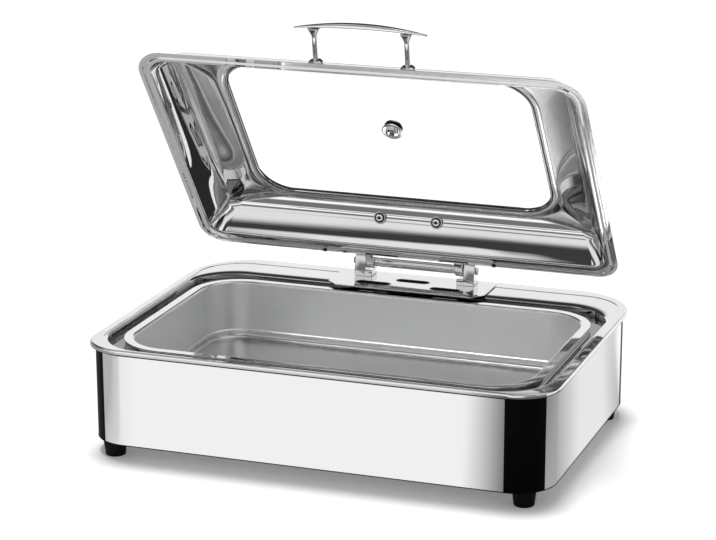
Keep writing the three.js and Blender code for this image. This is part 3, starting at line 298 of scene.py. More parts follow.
def turned(name, stations, place, steps=40, closed=True):
    rings = [round_ring(numbers, place, steps) for numbers in bent(stations, closed, 3)]
    return skin(name, rings, closed)


def from_curve(curve, place, middle):
    """The mesh of a curve, with its own middle moved and each of its points put in place."""
    name = curve.name
    mesh = as_mesh(new_object(name, curve))
    bpy.data.curves.remove(curve)
    mesh.name = name
    for vertex in mesh.vertices:
        vertex.co = place(*(shift + value for shift, value in zip(middle, vertex.co)))
    return settle(mesh)


def plate(name, outline, holes, low, high, bevel, place):
    """A flat plate with holes and softened edges. The outline is drawn in the first two axes."""
    curve = bpy.data.curves.new(name, "CURVE")
    curve.dimensions = "2D"
    curve.fill_mode = "BOTH"
    curve.extrude = (high - low) / 2 - bevel
    curve.bevel_depth = bevel
    curve.bevel_resolution = 2
    curve.offset = -bevel
    for loop in [outline, *holes]:
        line = curve.splines.new("POLY")
        line.points.add(len(loop) - 1)
        for point, (x, y) in zip(line.points, loop):
            point.co = (x, y, 0, 1)
        line.use_cyclic_u = True
    return from_curve(curve, place, (0, 0, (low + high) / 2))


def fused(name, *meshes):
    """Several meshes as one."""
    together = bmesh.new()
    for mesh in meshes:
        together.from_mesh(mesh)
        bpy.data.meshes.remove(mesh)
    whole = bpy.data.meshes.new(name)
    together.to_mesh(whole)
    together.free()
    return shaded(whole)


def piece(mesh, material, body, slot, *nodes):
    """Shows a mesh as a piece that rides on a body and stands for the named CAD nodes."""
    made = new_object(mesh.name, mesh)
    made.data.materials.append(material)
    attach(made, body)
    if nodes:
        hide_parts(*nodes)
    return made


print("edges stay sharp from", round(math.degrees(SHARP)), "degrees")

# %% [markdown]
# Polished steel is never a perfect mirror. The polishing wheel leaves fine lines, the pressed
# sheet is slightly wavy, and hands leave soft smears. Each of these effects is a small node
# group, so one recipe can serve every metal with its own numbers.

# %% Shared effects as node groups
def feed(tree, fed, values):
    """Gives each named input of a node its value, or links it to the socket that feeds it."""
    for label, value in values.items():
        if isinstance(value, bpy.types.NodeSocket):
            tree.links.new(value, fed.inputs[label])
        else:
            fed.inputs[label].default_value = value


def node(tree, kind, values):
    made = tree.nodes.new("ShaderNode" + kind)
    feed(tree, made, values)
    return made.outputs


def group_node(tree, group, values):
    made = tree.nodes.new("ShaderNodeGroup")
    made.node_tree = group
    feed(tree, made, values)
    return made.outputs


def color_mix(tree, values):
    made = tree.nodes.new("ShaderNodeMix")
    made.data_type = "RGBA"
    feed(tree, made, values)
    return made.outputs["Result"]


def math_node(tree, operation, first, second):
    made = tree.nodes.new("ShaderNodeMath")
    made.operation = operation
    feed(tree, made, {0: first, 1: second})
    return made.outputs["Value"]


def effect(name, numbers, *results):
    """An empty group, the sockets with its numbers, and the node that takes its results."""
    group = bpy.data.node_groups.new(name, "ShaderNodeTree")
    kind = "NodeSocketFloat"
    for label, value in numbers.items():
        socket = group.interface.new_socket(name=label, in_out="INPUT", socket_type=kind)
        socket.default_value = value
    for label in results:
        group.interface.new_socket(name=label, in_out="OUTPUT", socket_type=kind)
    return group, group.nodes.new("NodeGroupInput").outputs, group.nodes.new("NodeGroupOutput")


def stretched_noise(group, scale, stretch, detail, roughness):
    place = node(group, "TexCoord", {})["Object"]
    place = node(group, "Mapping", {"Vector": place, "Scale": stretch})["Vector"]
    values = {"Vector": place, "Scale": scale, "Detail": detail, "Roughness": roughness}
    return node(group, "TexNoise", values)["Fac"]


def remapped(group, value, low, high):
    """Spreads the middle of a noise over the range from low to high."""
    values = {"Value": value, "From Min": 0.3, "From Max": 0.7, "To Min": low, "To Max": high}
    return node(group, "MapRange", values)["Result"]


lines_group, given, end = effect("polishing_lines", {"Scale": 60, "Smooth": 0.08, "Dull": 0.14},
                                 "Roughness", "Height")
grain = stretched_noise(lines_group, given["Scale"], (1, 1, 16), 6, 0.6)
dullness = remapped(lines_group, grain, given["Smooth"], given["Dull"])
feed(lines_group, end, {"Roughness": dullness, "Height": grain})

waves_group, given, end = effect("sheet_waves", {"Scale": 9}, "Height")
feed(waves_group, end, {"Height": stretched_noise(waves_group, given["Scale"], (1, 1, 1), 1, 0.4)})

smears_group, given, end = effect("smears", {"Scale": 12, "Weak": 0.0, "Strong": 1.0}, "Mask")
patches = stretched_noise(smears_group, given["Scale"], (1, 1.6, 1), 4, 0.55)
feed(smears_group, end, {"Mask": remapped(smears_group, patches, given["Weak"], given["Strong"])})


def range_mask(group, value, given, end):
    values = {"Value": value, "From Min": given["From"], "From Max": given["To"]}
    feed(group, end, {"Mask": node(group, "MapRange", values)["Result"]})


wear_group, given, end = effect("edge_wear", {"From": 0.505, "To": 0.56}, "Mask")
range_mask(wear_group, node(wear_group, "NewGeometry", {})["Pointiness"], given, end)

height_group, given, end = effect("height_mask", {"From": 0.0, "To": 1.0}, "Mask")
place = node(height_group, "TexCoord", {})["Object"]
range_mask(height_group, node(height_group, "SeparateXYZ", {"Vector": place})["Z"], given, end)
print("effects:", [group.name for group in bpy.data.node_groups])

# %% [markdown]
# A finish is a Principled shader with the groups placed round it. The two colours of a finish are
# close: the smears and worn edges move between them, which is enough for the eye to read metal or
# plastic instead of paint. Numbers that are the same all over stay on the shader's own sockets.
# A second recipe changes a finish with height. The food pan is brushed inside and polished on its
# flange. Its colour is painted lighter on the walls (painted light) and darker on the floor
# (painted shade). The groove round it is darker low down, which is painted shade.

# %% The recipe for a finish
def finish(name, color, marked, smooth, dull, metallic=1.0, lines=60, wave_depth=0.0,
           grain_depth=0.02, settings=None):
    """Base colour runs from color to marked, roughness from smooth to dull, depths are in mm."""
    material = bpy.data.materials.new(name)
    material.use_nodes = True
    tree = material.node_tree
    grain = group_node(tree, lines_group, {"Scale": lines, "Smooth": smooth, "Dull": dull})
    marks = [group_node(tree, group, {})["Mask"] for group in (smears_group, wear_group)]
    colors = {"Factor": math_node(tree, "MAXIMUM", *marks), "A": (*color, 1), "B": (*marked, 1)}
    bumps = {"Distance": grain_depth * MM, "Height": grain["Height"]}
    if wave_depth:
        sheet = group_node(tree, waves_group, {})["Height"]
        coarse = node(tree, "Bump", {"Distance": wave_depth * MM, "Height": sheet})
        bumps["Normal"] = coarse["Normal"]
    feed(tree, tree.nodes["Principled BSDF"], {
        "Metallic": metallic, **(settings or {}), "Roughness": grain["Roughness"],
        "Base Color": color_mix(tree, colors), "Normal": node(tree, "Bump", bumps)["Normal"]})
    return material


def by_height(material, socket, low, high, value_low=None, value_high=None):
    """Blends what feeds a socket of the finish into another value below or above a height."""
    tree = material.node_tree
    shader = tree.nodes["Principled BSDF"]
    source = shader.inputs[socket].links[0].from_socket
    ends = [source if value is None else (value, value, value, 1)
            for value in (value_low, value_high)]
    mask = group_node(tree, height_group, {"From": low, "To": high})["Mask"]
    blend = color_mix(tree, {"Factor": mask, "A": ends[0], "B": ends[1]})
    feed(tree, shader, {socket: blend})


def cool(light):
    """A grey with the trace of blue that steel has."""
    return (light, light + 0.005, light + 0.01)


print("recipes: finish and by_height")

# %% [markdown]
# Each metal, rubber and plastic gets its own numbers. The mirror of the lid is the smoothest, and
# the pan is the dullest steel. The black plastics hardly shine, or their corners would turn grey.

# %% The finishes
POLISHED = (cool(0.80), cool(0.74), 0.03, 0.06)
WALL_FOOT, FLANGE_EDGE = (0.066, 0.078), (0.1372, 0.1384)
GROOVE_WALL = (0.1335, 0.1400)

polished_steel = finish("polished_steel", *POLISHED, wave_depth=1.2, grain_depth=0.004)
panel_steel = finish("panel_steel", (0.91, 0.91, 0.915), (0.88, 0.88, 0.885), 0.07, 0.1,
                     wave_depth=0.3, grain_depth=0.004)
groove_steel = finish("groove_steel", *POLISHED, wave_depth=1.2, grain_depth=0.004)
# Painted shade: the groove's base colour drops to 0.2 low down, under the deck's edge.
by_height(groove_steel, "Base Color", *GROOVE_WALL, value_low=0.2)
mirror_steel = finish("mirror_steel", cool(0.84), cool(0.80), 0.012, 0.03,
                      wave_depth=0.5, grain_depth=0.002)
trim_steel = finish("trim_steel", (0.92, 0.92, 0.925), (0.88, 0.88, 0.885), 0.12, 0.18)
handle_steel = finish("handle_steel", cool(0.82), cool(0.76), 0.06, 0.1, wave_depth=0.3)
pan_steel = finish("pan_steel", cool(0.70), cool(0.66), 0.2, 0.25)
tray_steel = finish("tray_steel", cool(0.95), cool(0.91), 0.3, 0.4,
                    wave_depth=0.6, grain_depth=0.002)
by_height(tray_steel, "Roughness", *WALL_FOOT, value_low=0.2)
by_height(tray_steel, "Roughness", *FLANGE_EDGE, value_high=0.05)
# Painted light and shade: the walls' base colour of 0.95 is painted lighter than the flange's 0.8,
# and the floor below the walls' foot is painted darker at 0.56.
by_height(tray_steel, "Base Color", *WALL_FOOT, value_low=0.56)
by_height(tray_steel, "Base Color", *FLANGE_EDGE, value_high=0.8)
screw_steel = finish("screw_steel", cool(0.62), cool(0.5), 0.15, 0.3)
black_plastic = finish("black_plastic", (0.0015, 0.0015, 0.0016), (0.003, 0.003, 0.0032), 0.3, 0.4,
                       metallic=0.0, lines=220, grain_depth=0.01,
                       settings={"Specular IOR Level": 0.03})
black_rubber = finish("black_rubber", (0.002, 0.002, 0.0022), (0.006, 0.006, 0.0064), 0.5, 0.65,
                      metallic=0.0, lines=300, grain_depth=0.04,
                      settings={"Specular IOR Level": 0.1})
silicone = finish("silicone", (0.004, 0.004, 0.0042), (0.01, 0.01, 0.0105), 0.35, 0.5,
                  metallic=0.0, lines=260, settings={"Specular IOR Level": 0.2})
aluminium = finish("aluminium", cool(0.6), cool(0.5), 0.35, 0.5, grain_depth=0.08)
brass = finish("brass", (0.75, 0.56, 0.26), (0.6, 0.43, 0.2), 0.2, 0.35)
amber_lens = finish("amber_lens", (0.75, 0.3, 0.02), (0.68, 0.26, 0.02), 0.06, 0.12,
                    metallic=0.0, grain_depth=0.002)
white_plastic = finish("white_plastic", (0.72, 0.71, 0.67), (0.66, 0.65, 0.61), 0.35, 0.5,
                       metallic=0.0)
clear_glass = finish("clear_glass", (0.99, 0.995, 0.995), (0.985, 0.99, 0.99), 0.0, 0.008,
                     metallic=0.0, grain_depth=0.0,
                     settings={"Transmission Weight": 1.0, "IOR": 1.25})
print("finishes:", [material.name for material in bpy.data.materials])

# %% [markdown]
# The rim and deck are one pressing. From the outer skirt it rolls over onto the deck, drops a
# hair where the rear deck is stepped, rounds down into a groove and ends at a hole that the water
# pan hangs in. Drawing it as one closed row of stations keeps the sheet one thickness all over.

# %% Top frame
RIM = rect(295, -216.5, 216.5, 52, 85)
PAN = rect(252.5, -181.45, 118.55, 52, 52)
DECK_OPENING = rect(279, -207.95, 148.05, 62, 62)
STEP_LINE = rect(283, -212, 192.8, 62, 56)
HOLE = grown(PAN, 6)
DECK, STEPPED = 141.8, 141.2
SKIRT = 136.2
GROOVE_FLOOR = 132.0
TOP_SHEET = 1.5

frame_stations = [
    *around(RIM, [(-0.5, SKIRT, 0.3), (0, SKIRT, 0.5), (0, DECK, 2.4)]),
    *around(STEP_LINE, [(0.5, DECK, 0.4), (0, STEPPED, 0.4)]),
    *around(DECK_OPENING, [(0, STEPPED, 2.2), (0, GROOVE_FLOOR, 1.6)]),
    *around(HOLE, [(0, GROOVE_FLOOR, 0.4), (0, GROOVE_FLOOR - TOP_SHEET, 0.3)]),
    *around(DECK_OPENING, [(TOP_SHEET, GROOVE_FLOOR - TOP_SHEET, 2.0),
                           (TOP_SHEET, STEPPED - TOP_SHEET, 1.0)]),
    *around(RIM, [(-TOP_SHEET, DECK - TOP_SHEET, 1.2), (-TOP_SHEET, SKIRT, 0.3)]),
]
top_frame = pressed("rim_and_deck", frame_stations, on_base)
piece(top_frame, groove_steel, "base", "polished_steel", "top_frame")
print("rim and deck:", len(top_frame.vertices), "points")

# %% [markdown]
# The food pan is deep drawn: a flat flange, a soft lip, walls that lean in a little, a crease low
# down where the wall steps in, and a rounded foot. The water pan under it shows only as the edge
# that its flange rests on.

# %% Food pan and water pan
pan_stations = around(PAN, [
    (-17.8, 65.8, 0), (-8.0, 65.9, 9.5), (-6.8, 75.0, 1.2), (-5.0, 75.9, 1.6), (0.0, 138.8, 3.2),
    (12.5, 138.8, 0.4), (12.5, 137.8, 0.4), (1.0, 137.8, 4.2), (-4.0, 75.4, 1.2),
    (-5.8, 74.6, 1.6), (-7.0, 64.9, 10), (-17.8, 64.8, 0),
])
food_pan = pressed("food_tray", pan_stations, on_base, closed=False)
piece(food_pan, tray_steel, "food_pan_body", "satin_steel", "food_pan")

water_stations = around(PAN, [
    (-8.5, 46.2, 0), (-2.5, 46.2, 6), (2.5, 137.5, 1.5), (11.5, 137.5, 1.2), (11.5, 132.3, 0.2),
    (10.3, 132.3, 0.2), (10.3, 136.3, 0.4), (3.7, 136.3, 0.4), (-1.3, 45.0, 7), (-8.5, 45.0, 0),
])
water_pan = pressed("water_tray", water_stations, on_base, closed=False)
piece(water_pan, polished_steel, "water_pan_body", "satin_steel", "water_pan")
print("pans:", len(food_pan.vertices), len(water_pan.vertices), "points")

# %% [markdown]
# Each body panel is a bent sheet: flat along its side, wrapped round the corner at its left end
# and cut off at the bend at its right end. A black strip fills the rest of each corner. Drawing
# one outline per corner radius and turning it to its side keeps the four sides alike.

# %% Panels and corner strips
BODY_HALF, BODY_DEPTH = 289.8, 211.3
FRONT_BEND, REAR_BEND = 50, 80
SHEET = 1.2
PANEL_LOW, PANEL_HIGH = 19.8, 140.0
WRAP = 31
LIP_INSET, LIP_DEPTH = 9, 13
STRIP_GAP, STRIP_DEPTH = 0.3, 4.5
CUT_DEPTH = 12
SIDES = [
    ("front", BODY_HALF, BODY_DEPTH, FRONT_BEND, FRONT_BEND),
    ("right", BODY_DEPTH, BODY_HALF, FRONT_BEND, REAR_BEND),
    ("rear", BODY_HALF, BODY_DEPTH, REAR_BEND, REAR_BEND),
    ("left", BODY_DEPTH, BODY_HALF, REAR_BEND, FRONT_BEND),
]
CORNERS = ["front_left", "front_right", "rear_right", "rear_left"]
REAR_OPENINGS = [(165, 80, 26.4, 24.2), (71, 80, 10.6, 10.6), (121, 80, 9.6, 9.6),
                 (-150, 66, 28.6, 22.6)]


def turned_quarter(quarters):
    """Places drawn for the front face, carried round the body by quarter turns."""
    cos, sin = math.cos(math.pi / 2 * quarters), math.sin(math.pi / 2 * quarters)

    def place(x, y, z):
        return on_base(x * cos - y * sin, x * sin + y * cos, z)
    return place


def hollowed(mesh, openings, y):
    """The mesh with a box cut out of it for each opening: middle x, middle z, width, height."""
    solid = new_object(mesh.name, mesh)
    cutters = []
    for x, z, width, height in openings:
        shell = bmesh.new()
        bmesh.ops.create_cube(shell, size=1)
        for vertex in shell.verts:
            across, deep, up = vertex.co
            vertex.co = on_base(x + across * width, y + deep * CUT_DEPTH, z + up * height)
        block = bpy.data.meshes.new("cutter")
        shell.to_mesh(block)
        shell.free()
        cutters.append(new_object("cutter", block))
        step = solid.modifiers.new("opening", "BOOLEAN")
        step.object = cutters[-1]
        step.solver = "EXACT"
    made = as_mesh(solid)
    for cutter in cutters:
        bpy.data.objects.remove(cutter)
    return settle(made)


for quarter, (side, half_length, distance, left_bend, right_bend) in enumerate(SIDES):
    place = turned_quarter(quarter)
    left, right = left_bend - half_length, half_length - right_bend
    centre = (left, left_bend - distance)
    inside = SHEET - distance
    outline = [*arc(*centre, left_bend, -90 - WRAP, -90, 16), (right, -distance), (right, inside),
               *arc(*centre, left_bend - SHEET, -90, -90 - WRAP, 16)]
    sheet = plate(f"{side}_sheet", outline, [], PANEL_LOW, PANEL_HIGH, 0.3, place)
    ends, lip_end = (left + LIP_INSET, right - LIP_INSET), LIP_DEPTH - distance
    lip_outline = [(ends[0], inside), (ends[1], inside), (ends[1], lip_end), (ends[0], lip_end)]
    lip = plate("lip", lip_outline, [], PANEL_LOW, PANEL_LOW + SHEET, 0.2, place)
    if side == "rear":
        sheet = hollowed(sheet, REAR_OPENINGS, BODY_DEPTH)
    panel = fused(f"{side}_side", sheet, lip)
    piece(panel, panel_steel, "base", "polished_steel", f"{side}_panel")

    gap = math.degrees(STRIP_GAP / left_bend)
    start, stop = 180 + gap, 270 - WRAP - gap
    outline = [*arc(*centre, left_bend, start, stop, 24),
               *arc(*centre, left_bend - STRIP_DEPTH, stop, start, 24)]
    corner = CORNERS[quarter]
    strip = plate(f"{corner}_strip", outline, [], PANEL_LOW, PANEL_HIGH, 0.3, place)
    piece(strip, black_plastic, "base", "black_plastic", f"corner_post_{corner}")
print("sides and strips made for", CORNERS)

# %% [markdown]
# A thin dark strip stands proud of the panels just under the rim, and another runs along the
# panels' lower edge. Both are painted shade: black strips put where the rim's shadow line and the
# shade at the panels' foot fall.

# %% Painted shade along the panels' edges: dark strips
BODY = rect(BODY_HALF, -BODY_DEPTH, BODY_DEPTH, FRONT_BEND, REAR_BEND)
SHADE_STRIPS = [("rim_shade_strip", 133.2, 138.5, 0.5), ("lower_shade_strip", PANEL_LOW - 0.2, PANEL_LOW + 0.9, 0.25)]
# Painted shade: each strip is a black band where a shadow line falls, under the rim or at the foot.
for name, low, high, proud in SHADE_STRIPS:
    shade_strip_rows = [(-0.6, low, 0), (proud, low, 0.1), (proud, high, 0.1), (-0.6, high, 0)]
    shade_strip = pressed(name, around(BODY, shade_strip_rows), on_base, bend_steps=2)
    piece(shade_strip, black_plastic, "base", "black_rubber")
print("shade_strips:", len(SHADE_STRIPS))

# %% [markdown]
# The feet are moulded rubber: a tapered body with a rounded bottom edge and a recess for the
# screw. A turned skin gives the taper and the soft edge in one go.

# %% Feet
FEET = {"front_left": (-259, -190), "front_right": (259, -190),
        "rear_left": (-270, 137), "rear_right": (270, 137)}
FOOT_STATIONS = [
    (5.5, 0.0, 0.5), (12.25, 0.0, 1.8), (14.5, 19.5, 0.6), (8.0, 19.5, 0.3),
    (8.0, 21.0, 0.3), (2.6, 21.0, 0.2), (2.6, 5.0, 0.2), (5.5, 5.0, 0.3),
]
for corner, middle in FEET.items():
    foot = turned(f"{corner}_rubber_foot", FOOT_STATIONS, moved(on_base, *middle))
    piece(foot, black_rubber, "base", "black_rubber", f"foot_{corner}")
print("feet:", len(FEET))

# %% [markdown]
# The hinge stands on a seat plate with three slots. Its posts are thick blocks with rounded heads,
# and the lid's barrel turns on a pin between them. The blocks are outlines drawn from the side.

# %% Hinge on the base
def along_axis(a, b, height):
    """Places for pieces that are turned about the hinge's axis."""
    return on_base(height, AXIS_Y + a, AXIS_Z + b)


def slot_outline(x, y, length, width):
    radius = width / 2
    right_end = arc(x + length / 2 - radius, y, radius, -90, 90, 8)
    return right_end + arc(x - length / 2 + radius, y, radius, 90, 270, 8)


SEAT_LOW, SEAT_TOP = 142.1, 143.6
SEAT_FRONT, SEAT_REAR = 131.55, 201.5
SLOTS = [(-47, SEAT_FRONT + 22, 46), (0, SEAT_FRONT + 44, 44), (51, SEAT_FRONT + 22, 40)]
SLOT_WIDTH = 12
LINER_OUT, LINER_IN, LINER_PROUD = 1.6, 2.6, 0.15
seat_outline = [(-92, SEAT_FRONT), (92, SEAT_FRONT), (106, SEAT_FRONT + 14), (106, SEAT_REAR),
                (-106, SEAT_REAR), (-106, SEAT_FRONT + 14)]
seat_slots = [slot_outline(x, y, length, SLOT_WIDTH) for x, y, length in SLOTS]
seat = plate("seat_plate", seat_outline, seat_slots, SEAT_LOW, SEAT_TOP, 0.35, on_base)
piece(seat, polished_steel, "base", "polished_steel", "hinge_seat_plate")
liners = []
for x, y, length in SLOTS:
    outside = slot_outline(x, y, length + LINER_OUT, SLOT_WIDTH + LINER_OUT)
    inside = slot_outline(x, y, length - LINER_IN, SLOT_WIDTH - LINER_IN)
    liners.append(plate("liner", outside, [inside], SEAT_LOW, SEAT_TOP + LINER_PROUD, 0.1, on_base))
piece(fused("slot_liners", *liners), silicone, "base", "silicone")

POST_LOW = SEAT_TOP + 0.3
POST_FRONT, POST_REAR = AXIS_Y - 10, AXIS_Y + 12
POST_INNER, POST_OUTER = 66.8, 81.8
FOOT_HEIGHT, FOOT_ROUND = 5.6, 2
post_bottom = [(POST_FRONT, POST_LOW), (POST_REAR, POST_LOW)]
post_outline = [*post_bottom, *arc(AXIS_Y, AXIS_Z, 9.5, 0, 128, 16), (POST_FRONT, POST_LOW + 7)]
foot_top = POST_LOW + FOOT_HEIGHT
foot_outline = [*post_bottom, *arc(POST_REAR - FOOT_ROUND, foot_top, FOOT_ROUND, 0, 90, 5),
                *arc(POST_FRONT + FOOT_ROUND, foot_top, FOOT_ROUND, 90, 180, 5)]
pin_hole = round_hole(AXIS_Y, AXIS_Z, 3.3)
for side, sign in BOTH_SIDES:
    low, high = sorted((sign * POST_INNER, sign * POST_OUTER))
    block = plate("block", post_outline, [pin_hole], low, high, 1.0, sideways(on_base))
    low, high = sorted((sign * (POST_OUTER - 24), sign * (POST_INNER + 2)))
    foot_block = plate("foot_block", foot_outline, [], low, high, 0.9, sideways(on_base))
    whole = fused(f"{side}_hinge_block", block, foot_block)
    piece(whole, polished_steel, "base", "polished_steel", f"hinge_post_{side}")

PIN_END = POST_OUTER + 0.3
pin_half = [(0.0, -PIN_END - 3, 0), (4.6, -PIN_END - 3, 1.4), (4.6, -PIN_END, 0.2),
            (3.0, -PIN_END, 0.2)]
pin = turned("hinge_axle", mirrored(pin_half), along_axis, closed=False)
piece(pin, screw_steel, "base", "satin_steel", "hinge_pin")
print("hinge stands on", SEAT_TOP, "mm")

# %% [markdown]
# The lid is one pressed shell: a flat flange with a raised bead, walls that lean in, a round
# shoulder, and an easy ledge down to the window's seat. The open lid shows its inner face, which
# is polished like a mirror, so the curves have to run on without a corner to reflect cleanly.

# %% Lid shell
LID_FLANGE = rect(282.5, -398.55, -36.55, 40, 31)
WINDOW = rect(193.5, -334.55, -101.55, 40, 40)
WINDOW_SEAT = grown(WINDOW, 12.5)
LID_SHEET = 1.2
LID_HEIGHT = 46.5
SHOULDER = 29.5
SHOULDER_RADIUS = 22.0
SHOULDER_END = math.radians(58)
SHEET_ACROSS = LID_SHEET / math.cos(FRONT_WALL_TILT)
WALL_BULGE = 1.3
LEDGE_EASE = 1.35
BEAD = 1.8


def dome(run, height):
    """The dome's outline where its wall has run inward from its foot, at a height."""
    share = height / LID_HEIGHT
    shape = rect(267.5 - run, run - 383.55, -55.55 - run, 26 - 11 * share, 20 - 5 * share)
    return (*shape, LID_LOW + height)


def shoulder(tilt, under):
    """The dome's outline where the round shoulder has a tilt, a depth under its skin."""
    run = math.tan(FRONT_WALL_TILT) * SHOULDER - SHEET_ACROSS
    run += SHOULDER_RADIUS * (math.cos(FRONT_WALL_TILT) - math.cos(tilt)) + under * math.cos(tilt)
    rise = SHOULDER_RADIUS * (math.sin(tilt) - math.sin(FRONT_WALL_TILT)) - under * math.sin(tilt)
    return dome(run, SHOULDER + rise)


inner_foot, outer_foot = dome(0, 0), dome(-0.715, LID_SHEET)


def lid_wall(under):
    """The wall from its foot up to the shoulder, a little rounder than a straight line."""
    top = shoulder(FRONT_WALL_TILT, under)
    stations = []
    for share in [step / 10 for step in range(1, 10)]:
        *shape, z = mixed(inner_foot if under else outer_foot, top, share)
        out = WALL_BULGE * 4 * share * (1 - share)
        wider = grown(shape, out * math.cos(FRONT_WALL_TILT))
        stations.append((*wider[:3], *shape[3:], z + out * math.sin(FRONT_WALL_TILT), 0))
    return stations


def lid_face(under):
    """From the shoulder's start to the window's seat."""
    tilts = [FRONT_WALL_TILT + (SHOULDER_END - FRONT_WALL_TILT) * step / 10 for step in range(11)]
    stations = [(*shoulder(tilt, under), 0) for tilt in tilts]
    *start, low, _ = stations[-1]
    top = LID_LOW + LID_HEIGHT - under
    for share in [step / 10 for step in range(1, 11)]:
        rise = 1 - (1 - share) ** LEDGE_EASE
        stations.append((*mixed(start, WINDOW_SEAT, share), low + (top - low) * rise, 0))
    return stations


def bead(low):
    rows = [(-4.8, low, 1.2), (-6.5, low + BEAD, 1.0), (-8.5, low + BEAD, 1.0), (-10.2, low, 1.2)]
    return around(LID_FLANGE, rows, LID_LOW)


lid_stations = [
    *around(LID_FLANGE, [(0, 0, 0.4), (0, LID_SHEET, 0.4)], LID_LOW), *bead(LID_SHEET),
    (*outer_foot, 2.5), *lid_wall(0), *lid_face(0),
    *around(WINDOW, [(4.6, LID_HEIGHT, 0.3), (4.6, LID_HEIGHT - LID_SHEET, 0.3)], LID_LOW),
    *lid_face(LID_SHEET)[::-1], *lid_wall(LID_SHEET)[::-1], (*inner_foot, 3.4), *bead(0)[::-1],
]
lid_shell = pressed("lid_dome", lid_stations, on_lid)
piece(lid_shell, mirror_steel, "lid", "polished_steel", "lid_shell")
print("lid dome:", len(lid_shell.vertices), "points")

# %% [markdown]
# The window is a sheet of tempered glass with a low crown. A black seal grips the shell's edge on
# one side and the glass on the other, and a bright ring covers the seal's inner edge. The renderer
# would give clear glass a dark shadow, so the pane casts none.

# %% Window
seal_stations = around(WINDOW, [
    (2.4, 43.9, 0.5), (5.5, 43.9, 0.5), (5.5, 45, 0.2), (4.3, 45, 0.1), (4.3, 46.8, 0.1),
    (8.5, 46.8, 0.4), (5.5, 48, 0.8), (5.5, 50.8, 0.6), (2.2, 50.8, 0.5), (2.2, 49.6, 0.3),
    (3.3, 49.6, 0.1), (3.3, 45, 0.1), (2.4, 45, 0.3),
], LID_LOW)
gasket = pressed("window_gasket", seal_stations, on_lid, bend_steps=3)
piece(gasket, silicone, "lid", "silicone", "window_seal")

insert_stations = around(WINDOW, [
    (3.5, 43.95, 0.1), (3.5, 43.5, 0.4), (4.5, 43.5, 0.4), (4.5, 43.95, 0.1),
], LID_LOW)
piece(pressed("gasket_insert", insert_stations, on_lid), trim_steel, "lid", "polished_steel")

trim_stations = around(WINDOW, [
    (5.9, 44.6, 0.3), (8.4, 44.2, 0.6), (9.4, 43.7, 0.8), (12, 43.9, 1.0), (12.3, 45, 0.1),
    (5.9, 45, 0.1),
], LID_LOW)
ring = pressed("window_ring", trim_stations, on_lid)
piece(ring, trim_steel, "lid", "polished_steel", "window_frame")

WINDOW_MIDDLE = -218.05
VENT_HOLE = rect(7, WINDOW_MIDDLE - 7, WINDOW_MIDDLE + 7, 7, 7)
GLASS_LOW = LID_LOW + 45.3
GLASS = 4.0
GLASS_TOP = GLASS_LOW + GLASS
CROWN = 16.0
CROWN_STEPS = 24


def crown(low):
    """Rings from the glass's flat edge up to the hole for the vent."""
    flat = grown(WINDOW, -1)
    shares = [step / CROWN_STEPS for step in range(1, CROWN_STEPS + 1)]
    return [(*mixed(flat, VENT_HOLE, share), low + CROWN * (1 - (1 - share) ** 2), 0)
            for share in shares]


glass_stations = [
    *around(WINDOW, [(3, GLASS_LOW, 0.8), (-1, GLASS_LOW, 4.0)]), *crown(GLASS_LOW),
    *crown(GLASS_TOP)[::-1], *around(WINDOW, [(-1, GLASS_TOP, 4.0), (3, GLASS_TOP, 0.8)]),
]
pane = pressed("window_pane", glass_stations, on_lid)
piece(pane, clear_glass, "lid", "glass", "window_glass").visible_shadow = False
print("pane:", len(pane.vertices), "points")

# %% [markdown]
# Steam leaves through a small vent in the middle of the glass: a rubber grommet on both faces and a
# steel eyelet through it, with a stepped disc inside and a cap outside. It is drawn from the
# glass's inner face.

# %% Steam vent
at_vent = moved(on_lid, 0, WINDOW_MIDDLE, GLASS_LOW + CROWN)
grommet_stations = [
    (4.8, -1.9, 0.2), (12, -1.9, 0.7), (12, -0.3, 0.6), (6.7, -0.3, 0.2),
    (6.7, 4.3, 0.2), (12, 4.3, 0.6), (12, 5.9, 0.7), (4.8, 5.9, 0.2),
]
piece(turned("vent_rubber", grommet_stations, at_vent), silicone, "lid", "silicone", "vent_grommet")

eyelet_stations = [
    (2.4, -7.0, 0.5), (4.6, -7.4, 0.4), (8, -6.6, 1.2), (8.4, -4.0, 0.3), (11.8, -4.4, 0.6),
    (13.5, -4.0, 0.5), (13.5, -2.2, 0.3), (4.5, -2.2, 0.2), (4.5, 6.2, 0.2), (11.5, 6.2, 0.3),
    (11.5, 8.0, 0.8), (2.4, 8.0, 0.5),
]
eyelet = turned("vent_disc", eyelet_stations, at_vent, steps=48)
piece(eyelet, handle_steel, "lid", "polished_steel", "vent_eyelet")
# Painted shade: a black silicone core fills the eyelet's bore, so that the hole shows dark.
core_stations = [(0.01, -6.4, 0), (2.5, -6.4, 0.1), (2.5, 7.4, 0.1), (0.01, 7.4, 0)]
piece(turned("vent_bore_shade", core_stations, at_vent, closed=False), silicone, "lid", "silicone")
print("vent at", at_vent(0, 0, 0)[:])

# %% [markdown]
# The handle stands square to the lid's front wall: two posts with flared tops carry a bar that
# swells in the middle and arches a little. The bar's section has soft creases, so light falls
# off along its front edge. It is skinned over sections that follow one curve.

# %% Handle
on_wall = lid_patch(-368.963, 11.4, math.pi / 2 - FRONT_WALL_TILT)
POST_X = 58.3
POST_TOP = 42.3
BAR_HALF = 84.6
BAR_ARCH = 6.5
BAR_STEPS = 28
CREASE = 0.72
SECTION_STEPS = 40
TIP_START, TIP_LENGTH = 0.985, 0.0151


def bar_at(share):
    """Width, thickness and middle height of the bar at a share of its half length."""
    belly = 1 - share * share
    middle = POST_TOP + 0.3 + 3.4 + BAR_ARCH * (belly - (1 - (POST_X / BAR_HALF) ** 2))
    return 3 + 7.5 * belly, 2.2 + 4.6 * belly, middle


